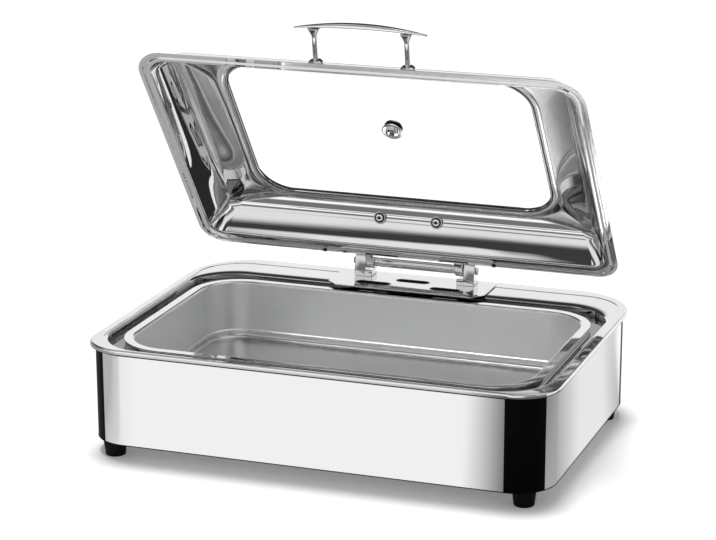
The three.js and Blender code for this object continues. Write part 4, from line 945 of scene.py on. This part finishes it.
def creased(value):
    return math.copysign(abs(value) ** CREASE, value)


def bar_ring(share):
    width, thickness, middle = bar_at(share)
    to_tip = max(abs(share) - TIP_START, 0) / TIP_LENGTH
    size = math.sqrt(max(1 - to_tip * to_tip, 0.02))
    ring = []
    for angle in full_turn(SECTION_STEPS):
        across = creased(math.cos(angle)) * width / 2 * size
        up = creased(math.sin(angle)) * (thickness / 2 - 0.15) * size
        ring.append(on_wall(BAR_HALF * share, across, middle - 0.15 + up))
    return ring


tips = {sign * share for _, sign in BOTH_SIDES for share in (TIP_START, 0.99, 0.995, 0.998)}
shares = sorted({-1 + step / BAR_STEPS for step in range(2 * BAR_STEPS + 1)} | tips)
bar = skin("handle_grip", [bar_ring(share) for share in shares], looped=False)
piece(bar, handle_steel, "lid", "polished_steel", "handle_bar")


def bar_underside(x, across):
    width, thickness, middle = bar_at(x / BAR_HALF)
    share = min(abs(across) / (width / 2), 1)
    return middle - thickness / 2 * (1 - share ** (1 / CREASE * 2)) ** 0.5


POST_STATIONS = [(3.4, 3.6, 0.2), (3.4, 33.8, 10), (8.0, 42.6, 0)]
ROSETTE_STATIONS = [(2.3, 0.3, 0.1), (9.5, 0.3, 0.3), (9.1, 1.6, 0.6), (7, 3.3, 1.4),
                    (2.3, 3.3, 0.1)]
POST_EDGE, POST_RISE, POST_LIMIT = 8.0, 43.0, 43.4
for side, sign in BOTH_SIDES:
    middle = sign * POST_X
    on_post = moved(on_wall, middle)
    rings = [[on_post(0, 0, POST_STATIONS[0][1])] * SECTION_STEPS]
    rings += [round_ring(numbers, on_post) for numbers in bent(POST_STATIONS, False, 10)]
    for radius in (POST_EDGE, 6.4, 4.4, 2.2, 0.01):
        ring = []
        for angle in full_turn(SECTION_STEPS):
            x, y = radius * math.cos(angle), radius * math.sin(angle)
            lift = min(bar_underside(middle + x, min(abs(y), 3.0)) - 0.3, POST_LIMIT)
            ring.append(on_post(x, y, lift if radius < POST_EDGE else POST_RISE))
        rings.append(ring)
    post = skin(f"{side}_handle_post", rings, looped=False)
    piece(post, handle_steel, "lid", "polished_steel", f"handle_post_{side}")
    rosette = turned(f"{side}_handle_ring", ROSETTE_STATIONS, on_post)
    piece(rosette, handle_steel, "lid", "polished_steel", f"handle_rosette_{side}")
print("handle top:", round(on_wall(0, 0, bar_at(0)[2])[2], 4))

# %% [markdown]
# Screws are turned, with a domed head and a six-sided socket that a key fits. A ring whose radius
# swells six times round its turn gives the socket without cutting.

# %% Screws
SCREW_STEPS = 48
SCREW_X = 38.2
REAR_SEAT_Y, REAR_SEAT_Z = -73.65, 16.2
SIXTH = math.pi / 3


def socket_ring(radius, height, place):
    ring = []
    for angle in full_turn(SCREW_STEPS):
        reach = radius * math.cos(SIXTH / 2) / math.cos(angle % SIXTH - SIXTH / 2)
        ring.append(place(reach * math.cos(angle), reach * math.sin(angle), height))
    return ring


def screw(name, place, head_stations, key, depth):
    """A screw along the place's third axis. Its head's outermost height comes first."""
    top = head_stations[0][1]
    sockets = [(0.01, top + depth), (key, top + depth), (key, top)]
    rings = [socket_ring(radius, height, place) for radius, height in sockets]
    rings += [round_ring(numbers, place, SCREW_STEPS) for numbers in bent(head_stations, False, 5)]
    rings.append(round_ring((0.01, head_stations[-1][1]), place, SCREW_STEPS))
    return skin(name, rings, looped=False)


bracket_head = [(3.4, -6.3, 0), (4.8, -5.9, 1.2), (4.9, -4.1, 0.3), (8, -4.1, 0.4), (8, -3.1, 0.3),
                (2.5, -3.1, 0.2), (2.5, 2.8, 0)]
wall_head = [(2.9, -4.6, 0), (4.5, -4.2, 1.4), (4.5, -2.0, 0.3), (2.0, -2.0, 0.2), (2.0, 12.7, 0)]
# The next two rows draw painted shade for the bracket screws: a black ring in the recess round the
# head's foot and a black plug low in the socket.
recess_shade_ring = [(4.6, -4.9, 0.1), (6.3, -4.9, 0.2), (6.3, -3.9, 0.1), (4.6, -3.9, 0.1)]
socket_shade_plug = [(0.01, -5.9, 0), (2.2, -5.9, 0.1), (2.2, -4.8, 0.1), (0.01, -4.8, 0)]
rear_patch = lid_patch(REAR_SEAT_Y, REAR_SEAT_Z, REAR_SCREW_TILT - math.pi / 2)
for side, sign in BOTH_SIDES:
    on_shoulder, on_front = moved(rear_patch, sign * SCREW_X), moved(on_wall, sign * POST_X)
    made = screw(f"{side}_lid_screw", on_shoulder, bracket_head, key=2.1, depth=1.6)
    piece(made, trim_steel, "lid", "satin_steel", f"bracket_screw_{side}")
    # Painted shade: the black ring and plug sit where the recess and the socket are in shadow.
    shades = [turned("ring", recess_shade_ring, on_shoulder),
              turned("socket", socket_shade_plug, on_shoulder, closed=False)]
    piece(fused(f"{side}_screw_painted_shade", *shades), silicone, "lid", "silicone")
    made = screw(f"{side}_handle_bolt", on_front, wall_head, key=2.0, depth=1.4)
    piece(made, screw_steel, "lid", "satin_steel", f"handle_screw_{side}")
print("screws:", 2 * len(BOTH_SIDES))

# %% [markdown]
# Behind the lid a bracket carries it: a plate on the rear shoulder and two arms down to the
# barrel. The barrel is a turned bar with thinner ends that the arms' eyes grip.

# %% Hinge on the lid
EYE_X = 60.75
ARM_HALF = 5.5
BUMPER_Y = -40.15


def beside_shoulder(up, off):
    """A point on the rear shoulder's plate: up along it and off its face."""
    across, rise = math.cos(REAR_SCREW_TILT), math.sin(REAR_SCREW_TILT)
    return (REAR_SEAT_Y + across * off - rise * up, REAR_SEAT_Z + rise * off + across * up)


def on_shoulder_plate(x, y, z):
    return on_lid(x, *beside_shoulder(y, z))


arm_outline = [beside_shoulder(-12, 0.3), *arc(0, 0, 8.4, -118, 118, 28), beside_shoulder(2, 2.5),
               beside_shoulder(0, 0.4)]
eye_hole = round_hole(0, 0, 5.3, points=30)
arms = [plate("arm", arm_outline, [eye_hole], -ARM_HALF, ARM_HALF, 0.7, sideways(moved(on_lid, x)))
        for x in (-EYE_X, EYE_X)]
plate_holes = [round_hole(x, 0, 2.8) for x in (-SCREW_X, SCREW_X)]
plate_outline = [(-60, -12), (60, -12), *arc(54, 6, 6, 0, 90, 8), *arc(-54, 6, 6, 90, 180, 8)]
back_plate = plate("shoulder_plate", plate_outline, plate_holes, 0.3, 2.5, 0.5, on_shoulder_plate)
carrier = fused("lid_carrier", back_plate, *arms)
piece(carrier, polished_steel, "lid", "polished_steel", "lid_bracket")

barrel_half = [(3.3, 66.5, 0.2), (5, 66.5, 0.5), (5, 55, 0.2), (6, 55, 0.5), (6, 51, 0.2),
               (5.2, 51, 0.1), (5.2, 49.5, 0.1), (6, 49.5, 0.2)]
barrel = turned("lid_barrel", mirrored(barrel_half), along_axis, steps=48)
piece(barrel, polished_steel, "lid", "polished_steel", "hinge_barrel")

bumper_stations = [(0.01, -18.4, 0), (3, -18.4, 0.2), (3, -19.9, 0.8), (0.01, -19.9, 0)]
for side, x in (("left", -112), ("right", 117)):
    place = moved(on_lid, x, BUMPER_Y)
    bumper = turned(f"{side}_lid_bumper", bumper_stations, place, closed=False)
    piece(bumper, silicone, "lid", "silicone", f"lid_bumper_rear_{side}")
print("lid carried by", len(arms), "arms")

# %% [markdown]
# The controls sit on the rear panel, where the photograph doesn't look. A fluted knob turns over
# a dial with plain numbers, an amber lamp shows that the heater is on, and a rocker switches it.

# %% Bezel, dial and lamp
REAR_FACE = BODY_DEPTH
CONTROL_Z = 80.0
BEZEL_X, KNOB_X, LAMP_X, ROCKER_X = 115.0, 71.0, 121.0, 165.0
DIAL_RADIUS = 23.2
DIAL_MARKS = 7


def behind(x, z):
    """Places seen from behind: right, up and outward, about a point of the rear panel."""
    def place(a, b, out):
        return on_base(x - a, REAR_FACE + out, z + b)
    return place


def rounded_outline(half_width, half_height, radius, steps=8):
    return rounded(rect(half_width, -half_height, half_height, radius, radius), steps)


def printed(text, size, place, across, up, out):
    """Raised print: a number or a sign, centred on a point of the face."""
    curve = bpy.data.curves.new("print", "FONT")
    curve.body = text
    curve.size = size
    curve.align_x, curve.align_y = "CENTER", "CENTER"
    curve.extrude = 0.08
    return from_curve(curve, place, (across, up, out))


rocker_hole = [(x + BEZEL_X - ROCKER_X, z) for x, z in rounded_outline(13.2, 12.1, 0.8, 3)]
bezel_holes = [round_hole(BEZEL_X - KNOB_X, 0, 5.3), round_hole(BEZEL_X - LAMP_X, 0, 4.8),
               rocker_hole]
bezel = plate("control_plate", rounded_outline(78, 26, 8), bezel_holes, 0.3, 3.3, 0.8,
              behind(BEZEL_X, CONTROL_Z))
piece(bezel, black_plastic, "base", "black_plastic", "control_bezel")

lamp_stations = [(0.01, 8.1, 0), (4.5, 7.2, 2.5), (6.5, 5.1, 0.8), (6.5, 3.6, 0.2), (4.5, 3.6, 0.1),
                 (4.5, -23.2, 0.3), (0.01, -23.2, 0)]
lamp = turned("power_lamp", lamp_stations, behind(LAMP_X, CONTROL_Z), closed=False)
piece(lamp, amber_lens, "base", "amber_lens", "indicator_lamp")

on_dial = behind(KNOB_X, CONTROL_Z)
marks = []
for number in range(DIAL_MARKS):
    angle = math.radians(45 * number)
    across, up = DIAL_RADIUS * -math.sin(angle), DIAL_RADIUS * -math.cos(angle)
    marks.append(printed(str(number), 3.6, on_dial, across, up, 3.38))
piece(fused("dial_numbers", *marks), white_plastic, "base", "white_plastic")
print("dial numbers:", len(marks))

# %% [markdown]
# The knob is a skin over rings whose radius dips twelve times round the turn, which makes the
# flutes. The rocker's face is hollow along its height, so a finger finds its two ends.

# %% Knob and rocker
KNOB_RINGS = [
    (0.01, 4.3, 0), (19.6, 4.3, 0), (20, 4.8, 0), (20, 6.7, 0), (19.5, 7.3, 0), (17.4, 7.8, 0),
    (16.3, 8.8, 0.6), (16, 10.3, 1.1), (15.7, 18.5, 1.1), (15.4, 20.4, 1.0), (14.8, 21.5, 0.7),
    (13.8, 22.1, 0.3), (12.6, 22.3, 0), (11.8, 22.2, 0), (10.8, 21.7, 0), (0.01, 21.7, 0),
]
POINTER_LOW, POINTER_TOP = 21.6, 22.3
POINTER_DOWN = 11.4


def fluted_ring(radius, out, flute):
    ring = []
    for angle in full_turn(144):
        reach = radius - flute * abs(math.sin(6 * angle)) ** 6
        ring.append(on_dial(reach * math.cos(angle), reach * math.sin(angle), out))
    return ring


knob = skin("heat_knob", [fluted_ring(*numbers) for numbers in KNOB_RINGS], looped=False)
pointer_outline = [(x, y - POINTER_DOWN) for x, y in rounded_outline(0.9, 3.6, 0.8, 4)]
pointer = plate("pointer", pointer_outline, [], POINTER_LOW, POINTER_TOP, 0.15, on_dial)
piece(knob, black_plastic, "knob", "black_plastic", "temperature_knob")
piece(pointer, white_plastic, "knob", "white_plastic")

ROCKER_Y = REAR_FACE + 4.3
ROCKER_TILT = math.radians(10)
ROCKER_HALF = 7.5
SIGN_UP, SIGN_PROUD = 4.2, 0.03


def rocker_side(out, up, x):
    depth = out * math.cos(ROCKER_TILT) + up * math.sin(ROCKER_TILT)
    rise = up * math.cos(ROCKER_TILT) - out * math.sin(ROCKER_TILT)
    return on_base(ROCKER_X + x, ROCKER_Y + depth, CONTROL_Z + rise)


def rocker_face(up):
    """How far out the hollow face stands at a height."""
    return 3 + (up / ROCKER_HALF) ** 2


def on_rocker(right, up, out):
    return rocker_side(rocker_face(up) + out, up, -right)


heights = [-ROCKER_HALF + 2 * ROCKER_HALF * step / 20 for step in range(21)]
rocker_outline = [(-5, -ROCKER_HALF), *((rocker_face(up), up) for up in heights), (-5, ROCKER_HALF)]
rocker_body = plate("rocker_body", rocker_outline, [], -10, 10, 0.7, rocker_side)
piece(rocker_body, black_plastic, "rocker", "black_plastic", "power_rocker")
signs = [printed(sign, 4.2, on_rocker, 0, up, SIGN_PROUD)
         for sign, up in (("I", SIGN_UP), ("O", -SIGN_UP))]
piece(fused("rocker_signs", *signs), white_plastic, "rocker", "white_plastic")
print("knob:", len(knob.vertices), "points, rocker:", len(rocker_body.vertices), "points")

# %% [markdown]
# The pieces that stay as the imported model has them, such as the heater under the water pan, keep
# their shapes and only get a finish.

# %% Finishes for the carried-over pieces
CARRIED = {
    "base_plate": pan_steel, "heating_element": screw_steel, "heating_plate": aluminium,
    "thermal_cutout": black_plastic, "thermostat": white_plastic, "thermostat_shaft": screw_steel,
    "switch_housing": black_plastic, "inlet_socket": black_plastic, "inlet_contacts": brass,
}
for side, _ in BOTH_SIDES:
    CARRIED[f"element_clamp_{side}"] = screw_steel
    CARRIED[f"plate_support_{side}"] = pan_steel
for corner in FEET:
    CARRIED[f"foot_screw_{corner}"] = screw_steel
for name, material in CARRIED.items():
    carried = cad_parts[name]
    carried.data.materials.clear()
    carried.data.materials.append(material)
shown = {name for name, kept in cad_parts.items() if not kept.hide_render}
print("carried over:", len(CARRIED), "missing:", sorted(shown - set(CARRIED)))

# %% [markdown]
# A product photograph of polished steel is a photograph of what surrounds it. The floor and the
# room are white, and a soft sun from almost straight above gives the shadow. The floor and the
# background glow a little for the camera, so that they come out as white as paper.

# %% Floor, world and light
WHITE = (1, 1, 1, 1)
FLOOR_COLOR = 0.9
FLOOR_REACH = 8
EXTRA_GLOW = 0.02
ROOM_LIGHT = 0.42
SUN_STRENGTH, SUN_SIZE = 2.3, math.radians(16)
SUN_FROM = Vector((-0.08, 0.10, 1.0))


def flat_mesh(name, corners, faces=None):
    mesh = bpy.data.meshes.new(name)
    mesh.from_pydata([Vector(corner) for corner in corners], [],
                     faces or [tuple(range(len(corners)))])
    return mesh


def stage_piece(name, mesh, material):
    made = new_object(name, mesh)
    made.data.materials.append(material)
    made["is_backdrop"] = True
    return made


def seen_rays(tree):
    """A factor that is 1 for rays from the camera, off steel and through glass."""
    rays = node(tree, "LightPath", {})
    factor = math_node(tree, "MAXIMUM", rays["Is Camera Ray"], rays["Is Glossy Ray"])
    return math_node(tree, "MAXIMUM", factor, rays["Is Transmission Ray"])


floor_paint = bpy.data.materials.new("floor_paint")
floor_paint.use_nodes = True
tree = floor_paint.node_tree
glow = math_node(tree, "MULTIPLY", seen_rays(tree), 1 - FLOOR_COLOR + EXTRA_GLOW)
feed(tree, tree.nodes["Principled BSDF"], {
    "Base Color": (FLOOR_COLOR, FLOOR_COLOR, FLOOR_COLOR, 1), "Roughness": 1,
    "Specular IOR Level": 0, "Emission Color": WHITE, "Emission Strength": glow})
floor_corners = [(-FLOOR_REACH, -FLOOR_REACH, 0), (FLOOR_REACH, -FLOOR_REACH, 0),
                 (FLOOR_REACH, FLOOR_REACH, 0), (-FLOOR_REACH, FLOOR_REACH, 0)]
stage_piece("floor", flat_mesh("floor", floor_corners), floor_paint)

world = bpy.data.worlds.new("studio")
world.use_nodes = True
bpy.context.scene.world = world
tree = world.node_tree
lighting = tree.nodes["Background"]
feed(tree, lighting, {"Color": WHITE, "Strength": ROOM_LIGHT})
backdrop = node(tree, "Background", {"Color": WHITE, "Strength": 1})["Background"]
sky = {0: seen_rays(tree), 1: lighting.outputs["Background"], 2: backdrop}
feed(tree, tree.nodes["World Output"], {"Surface": node(tree, "MixShader", sky)["Shader"]})

sun_data = bpy.data.lights.new("overhead_sun", "SUN")
sun_data.energy = SUN_STRENGTH
sun_data.angle = SUN_SIZE
sun = new_object("overhead_sun", sun_data)
sun.rotation_euler = SUN_FROM.to_track_quat("Z", "Y").to_euler()
bpy.context.scene.view_settings.view_transform = "Standard"
print("sun strength:", SUN_STRENGTH, "room light:", ROOM_LIGHT)

# %% [markdown]
# Without anything dark round it, mirror steel looks like grey paint. A dome round the object says
# how light the room is in each direction: white cards and strip lights between dark flags, as a
# photographer sets them. Only reflections see it. Its paint lets every ray through that hasn't
# been reflected yet, so that the camera sees white through the glass.

# %% The room that the steel reflects
ROOM_RADIUS = 6.0
TURN_STEPS, RISE_STEPS = 120, 36
DARKEST = 0.02


def smooth_step(value, low, high):
    share = min(max((value - low) / (high - low), 0), 1)
    return share * share * (3 - 2 * share)


def window_of(value, low, high, soft):
    """1 between low and high, and 0 beyond them, with soft edges."""
    return smooth_step(value, low - soft, low) * (1 - smooth_step(value, high, high + soft))


def front_level(turn, rise):
    """Light below, a dark flag, a strip light over part of it, and soft light above."""
    flag_start = 23.5 + 4 * smooth_step(-turn, 18, 30)
    level = 0.88 - 0.83 * smooth_step(rise, flag_start, flag_start + 8)
    level += 0.85 * window_of(rise, 42, 49, 1.5) * window_of(turn, -32, -21, 3)
    return level + 0.55 * smooth_step(rise, 58, 70)


def rear_level(rise):
    """A white card below, a dark flag, and a little light high up."""
    return 1.0 - 0.96 * smooth_step(rise, 20, 25) + 0.3 * smooth_step(rise, 55, 65)


def left_level(turn, rise):
    """A grey card below, a dark flag, a weak strip light and a bright one above it."""
    level = 0.7 - 0.64 * smooth_step(rise, 18, 24)
    level += 0.9 * window_of(rise, 61.5, 69, 1.5) * (1 - 0.6 * window_of(turn, -84, -78, 2))
    return level + 0.3 * window_of(rise, 44, 50, 2) + 0.1 * smooth_step(rise, 70, 76)


def right_level(turn, rise):
    """Dark, with two strip lights over each other and a bright ceiling above them."""
    level = 0.3 - 0.2 * smooth_step(rise, 14, 22)
    level += 0.9 * window_of(rise, 24, 33, 2) * window_of(turn, 64, 98, 4)
    level += 0.5 * window_of(rise, 35, 45, 2) * window_of(turn, 52, 118, 4)
    return level + 0.85 * smooth_step(rise, 47, 51) * smooth_step(turn, 42, 50)


def room_level(turn, rise):
    """How light the room is in a direction: degrees round from the front, and degrees up."""
    in_front = window_of(turn, -66, 26, 8)
    on_left = window_of(turn, -140, -74, 8)
    on_right = window_of(turn, 34, 126, 8)
    behind_it = max(1 - in_front - on_left - on_right, 0)
    level = in_front * front_level(turn, rise) + on_left * left_level(turn, rise)
    level += on_right * right_level(turn, rise) + behind_it * rear_level(rise)
    level += 0.9 * window_of(rise, 28, 40, 2) * window_of(turn, 11, 38, 3)
    return min(max(level, DARKEST), 1.0)


card_paint = bpy.data.materials.new("card_paint")
card_paint.use_nodes = True
tree = card_paint.node_tree
tree.nodes.remove(tree.nodes["Principled BSDF"])
level_of = tree.nodes.new("ShaderNodeAttribute")
level_of.attribute_name = "level"
emission = node(tree, "Emission", {"Strength": level_of.outputs["Fac"]})["Emission"]
choice = {0: node(tree, "LightPath", {})["Glossy Depth"],
          1: node(tree, "BsdfTransparent", {})["BSDF"], 2: emission}
feed(tree, tree.nodes["Material Output"], {"Surface": node(tree, "MixShader", choice)["Shader"]})
card_paint.cycles.emission_sampling = "NONE"


def shaded_card(name, corners, levels, faces=None):
    """A sheet with a light level at each corner, which only reflections see."""
    mesh = flat_mesh(name, corners, faces)
    mesh.attributes.new("level", "FLOAT", "POINT").data.foreach_set("value", levels)
    made = stage_piece(name, mesh, card_paint)
    made.visible_camera = False
    made.visible_diffuse = False
    made.visible_shadow = False


def curved_card(name, turns, rows, closed=False):
    """A card round the object. A row is its distance, its height and its level for each turn."""
    corners, levels, faces = [], [], []
    for row, (distance, height, row_levels) in enumerate(rows):
        levels += row_levels
        for column, angle in enumerate(math.radians(turn) for turn in turns):
            corners.append((distance * math.sin(angle), -distance * math.cos(angle), height))
            if row and (column or closed):
                here, left = (row * len(turns) + i % len(turns) for i in (column, column - 1))
                faces.append((left - len(turns), here - len(turns), here, left))
    shaded_card(name, corners, levels, faces)


turns = [-180 + 360 * step / TURN_STEPS for step in range(TURN_STEPS)]
room_rows = []
for rise in [90 * step / RISE_STEPS for step in range(RISE_STEPS + 1)]:
    angle = math.radians(rise)
    room_rows.append((ROOM_RADIUS * math.cos(angle), ROOM_RADIUS * math.sin(angle),
                      [room_level(turn, rise) for turn in turns]))
curved_card("room", turns, room_rows, closed=True)
print("room:", len(turns), "by", len(room_rows), "points")

# %% [markdown]
# The panels stand straight up, so what they show is the floor in front of them. Cards that lie on
# it carry the light and dark parts that the panels show, and their slanted edges become the
# upright edges of the reflections. Levels run evenly from one corner of a card to the next.

# %% Floor cards
FLOOR_LIFT = 0.003
FRONT_NEAR, FRONT_FAR = -0.222, -0.66
SIDE_NEAR, SIDE_FAR, SIDE_SLANT = 0.292, 0.402, 0.41


def floor_card(name, corners, levels):
    shaded_card(name, [(x, y, FLOOR_LIFT) for x, y in corners], levels)


def front_card(name, first, second):
    """A card in front, between two edges. An edge is where it starts and ends, and its level."""
    (a, b, level), (c, d, next_level) = first, second
    corners = [(a, FRONT_NEAR), (b, FRONT_FAR), (d, FRONT_FAR), (c, FRONT_NEAR)]
    floor_card(name, corners, [level, level, next_level, next_level])


def side_card(name, first, second):
    """A card at the right, between two slanted edges. An edge is where it starts and its level."""
    (a, level), (b, next_level) = first, second
    corners = [(SIDE_NEAR, a), (SIDE_FAR, a + SIDE_SLANT), (SIDE_FAR, b + SIDE_SLANT),
               (SIDE_NEAR, b)]
    floor_card(name, corners, [level, level, next_level, next_level])


middle_left, middle_right = (-0.225, -0.43, 0.99), (0.187, 0.061, 0.99)
left_edge, far_left_edge = (-0.27, -0.50, 0.70), (-0.40, -0.72, 0.48)
front_card("front_floor", middle_left, middle_right)
front_card("left_front_floor", middle_left, left_edge)
front_card("left_near_floor", left_edge, far_left_edge)
floor_card("left_floor", [(-0.40, FRONT_NEAR), (-0.72, FRONT_FAR), (-2.2, FRONT_FAR), (-2.2, 1.2),
                          (-0.31, 1.2), (-0.28, FRONT_NEAR)], [0.48, 0.48, 0.42, 0.4, 0.4, 0.48])
front_card("right_front_floor", middle_right, (0.24, 0.114, 0.2))
floor_card("right_corner_floor", [(0.24, FRONT_NEAR), (0.114, FRONT_FAR), (0.9, FRONT_FAR),
                                  (0.9, -0.2), (0.24, -0.2)], [0.2] * 5)
side_card("right_side_front", (-0.17, 0.42), (-0.06, 0.88))
side_card("right_side_middle", (-0.06, 0.88), (0.06, 0.88))
side_card("right_side_rear", (0.06, 0.88), (0.14, 0.5))
floor_card("right_outer", [(0.24, -0.2), (SIDE_NEAR, -0.17), (SIDE_FAR, 0.24), (0.62, 0.15),
                           (0.70, -0.08), (0.7, -0.2)], [0.25, 0.42, 0.42, 0.33, 0.22, 0.22])
print("floor cards: 10")

# %% [markdown]
# Low flags stand round the floor cards. What reflects the room just above the floor, such as a
# rounded edge, gets its narrow bands from them.

# %% Flags standing round the floor
FLAG_STEPS = 24
FLAGS = [
    ("front_flag", -62, 26, 2.6, [(0.0, 0.6), (0.12, 0.2), (0.5, 0.2), (0.68, 0.85)]),
    ("left_flag", -125, -62, 2.6, [(0.0, 0.03), (0.6, 0.03)]),
    ("front_right_flag", 30, 60, 2.5, [(0.0, 0.03), (0.95, 0.03)]),
]
for name, start, stop, distance, rows in FLAGS:
    turns = [start + (stop - start) * step / FLAG_STEPS for step in range(FLAG_STEPS + 1)]
    curved_card(name, turns, [(distance, height, [level] * len(turns)) for height, level in rows])
print("flags:", len(FLAGS))

# %% [markdown]
# The last cell measures the dressed model's box and shows it beside the imported model's box.
# The looks may never make the object bigger than the frame.

# %% Measure and finish
look_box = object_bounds()
[[list(corner) for corner in box] for box in (cad_box, look_box)]
print("looks box:", [[round(value, 4) for value in corner] for corner in look_box])
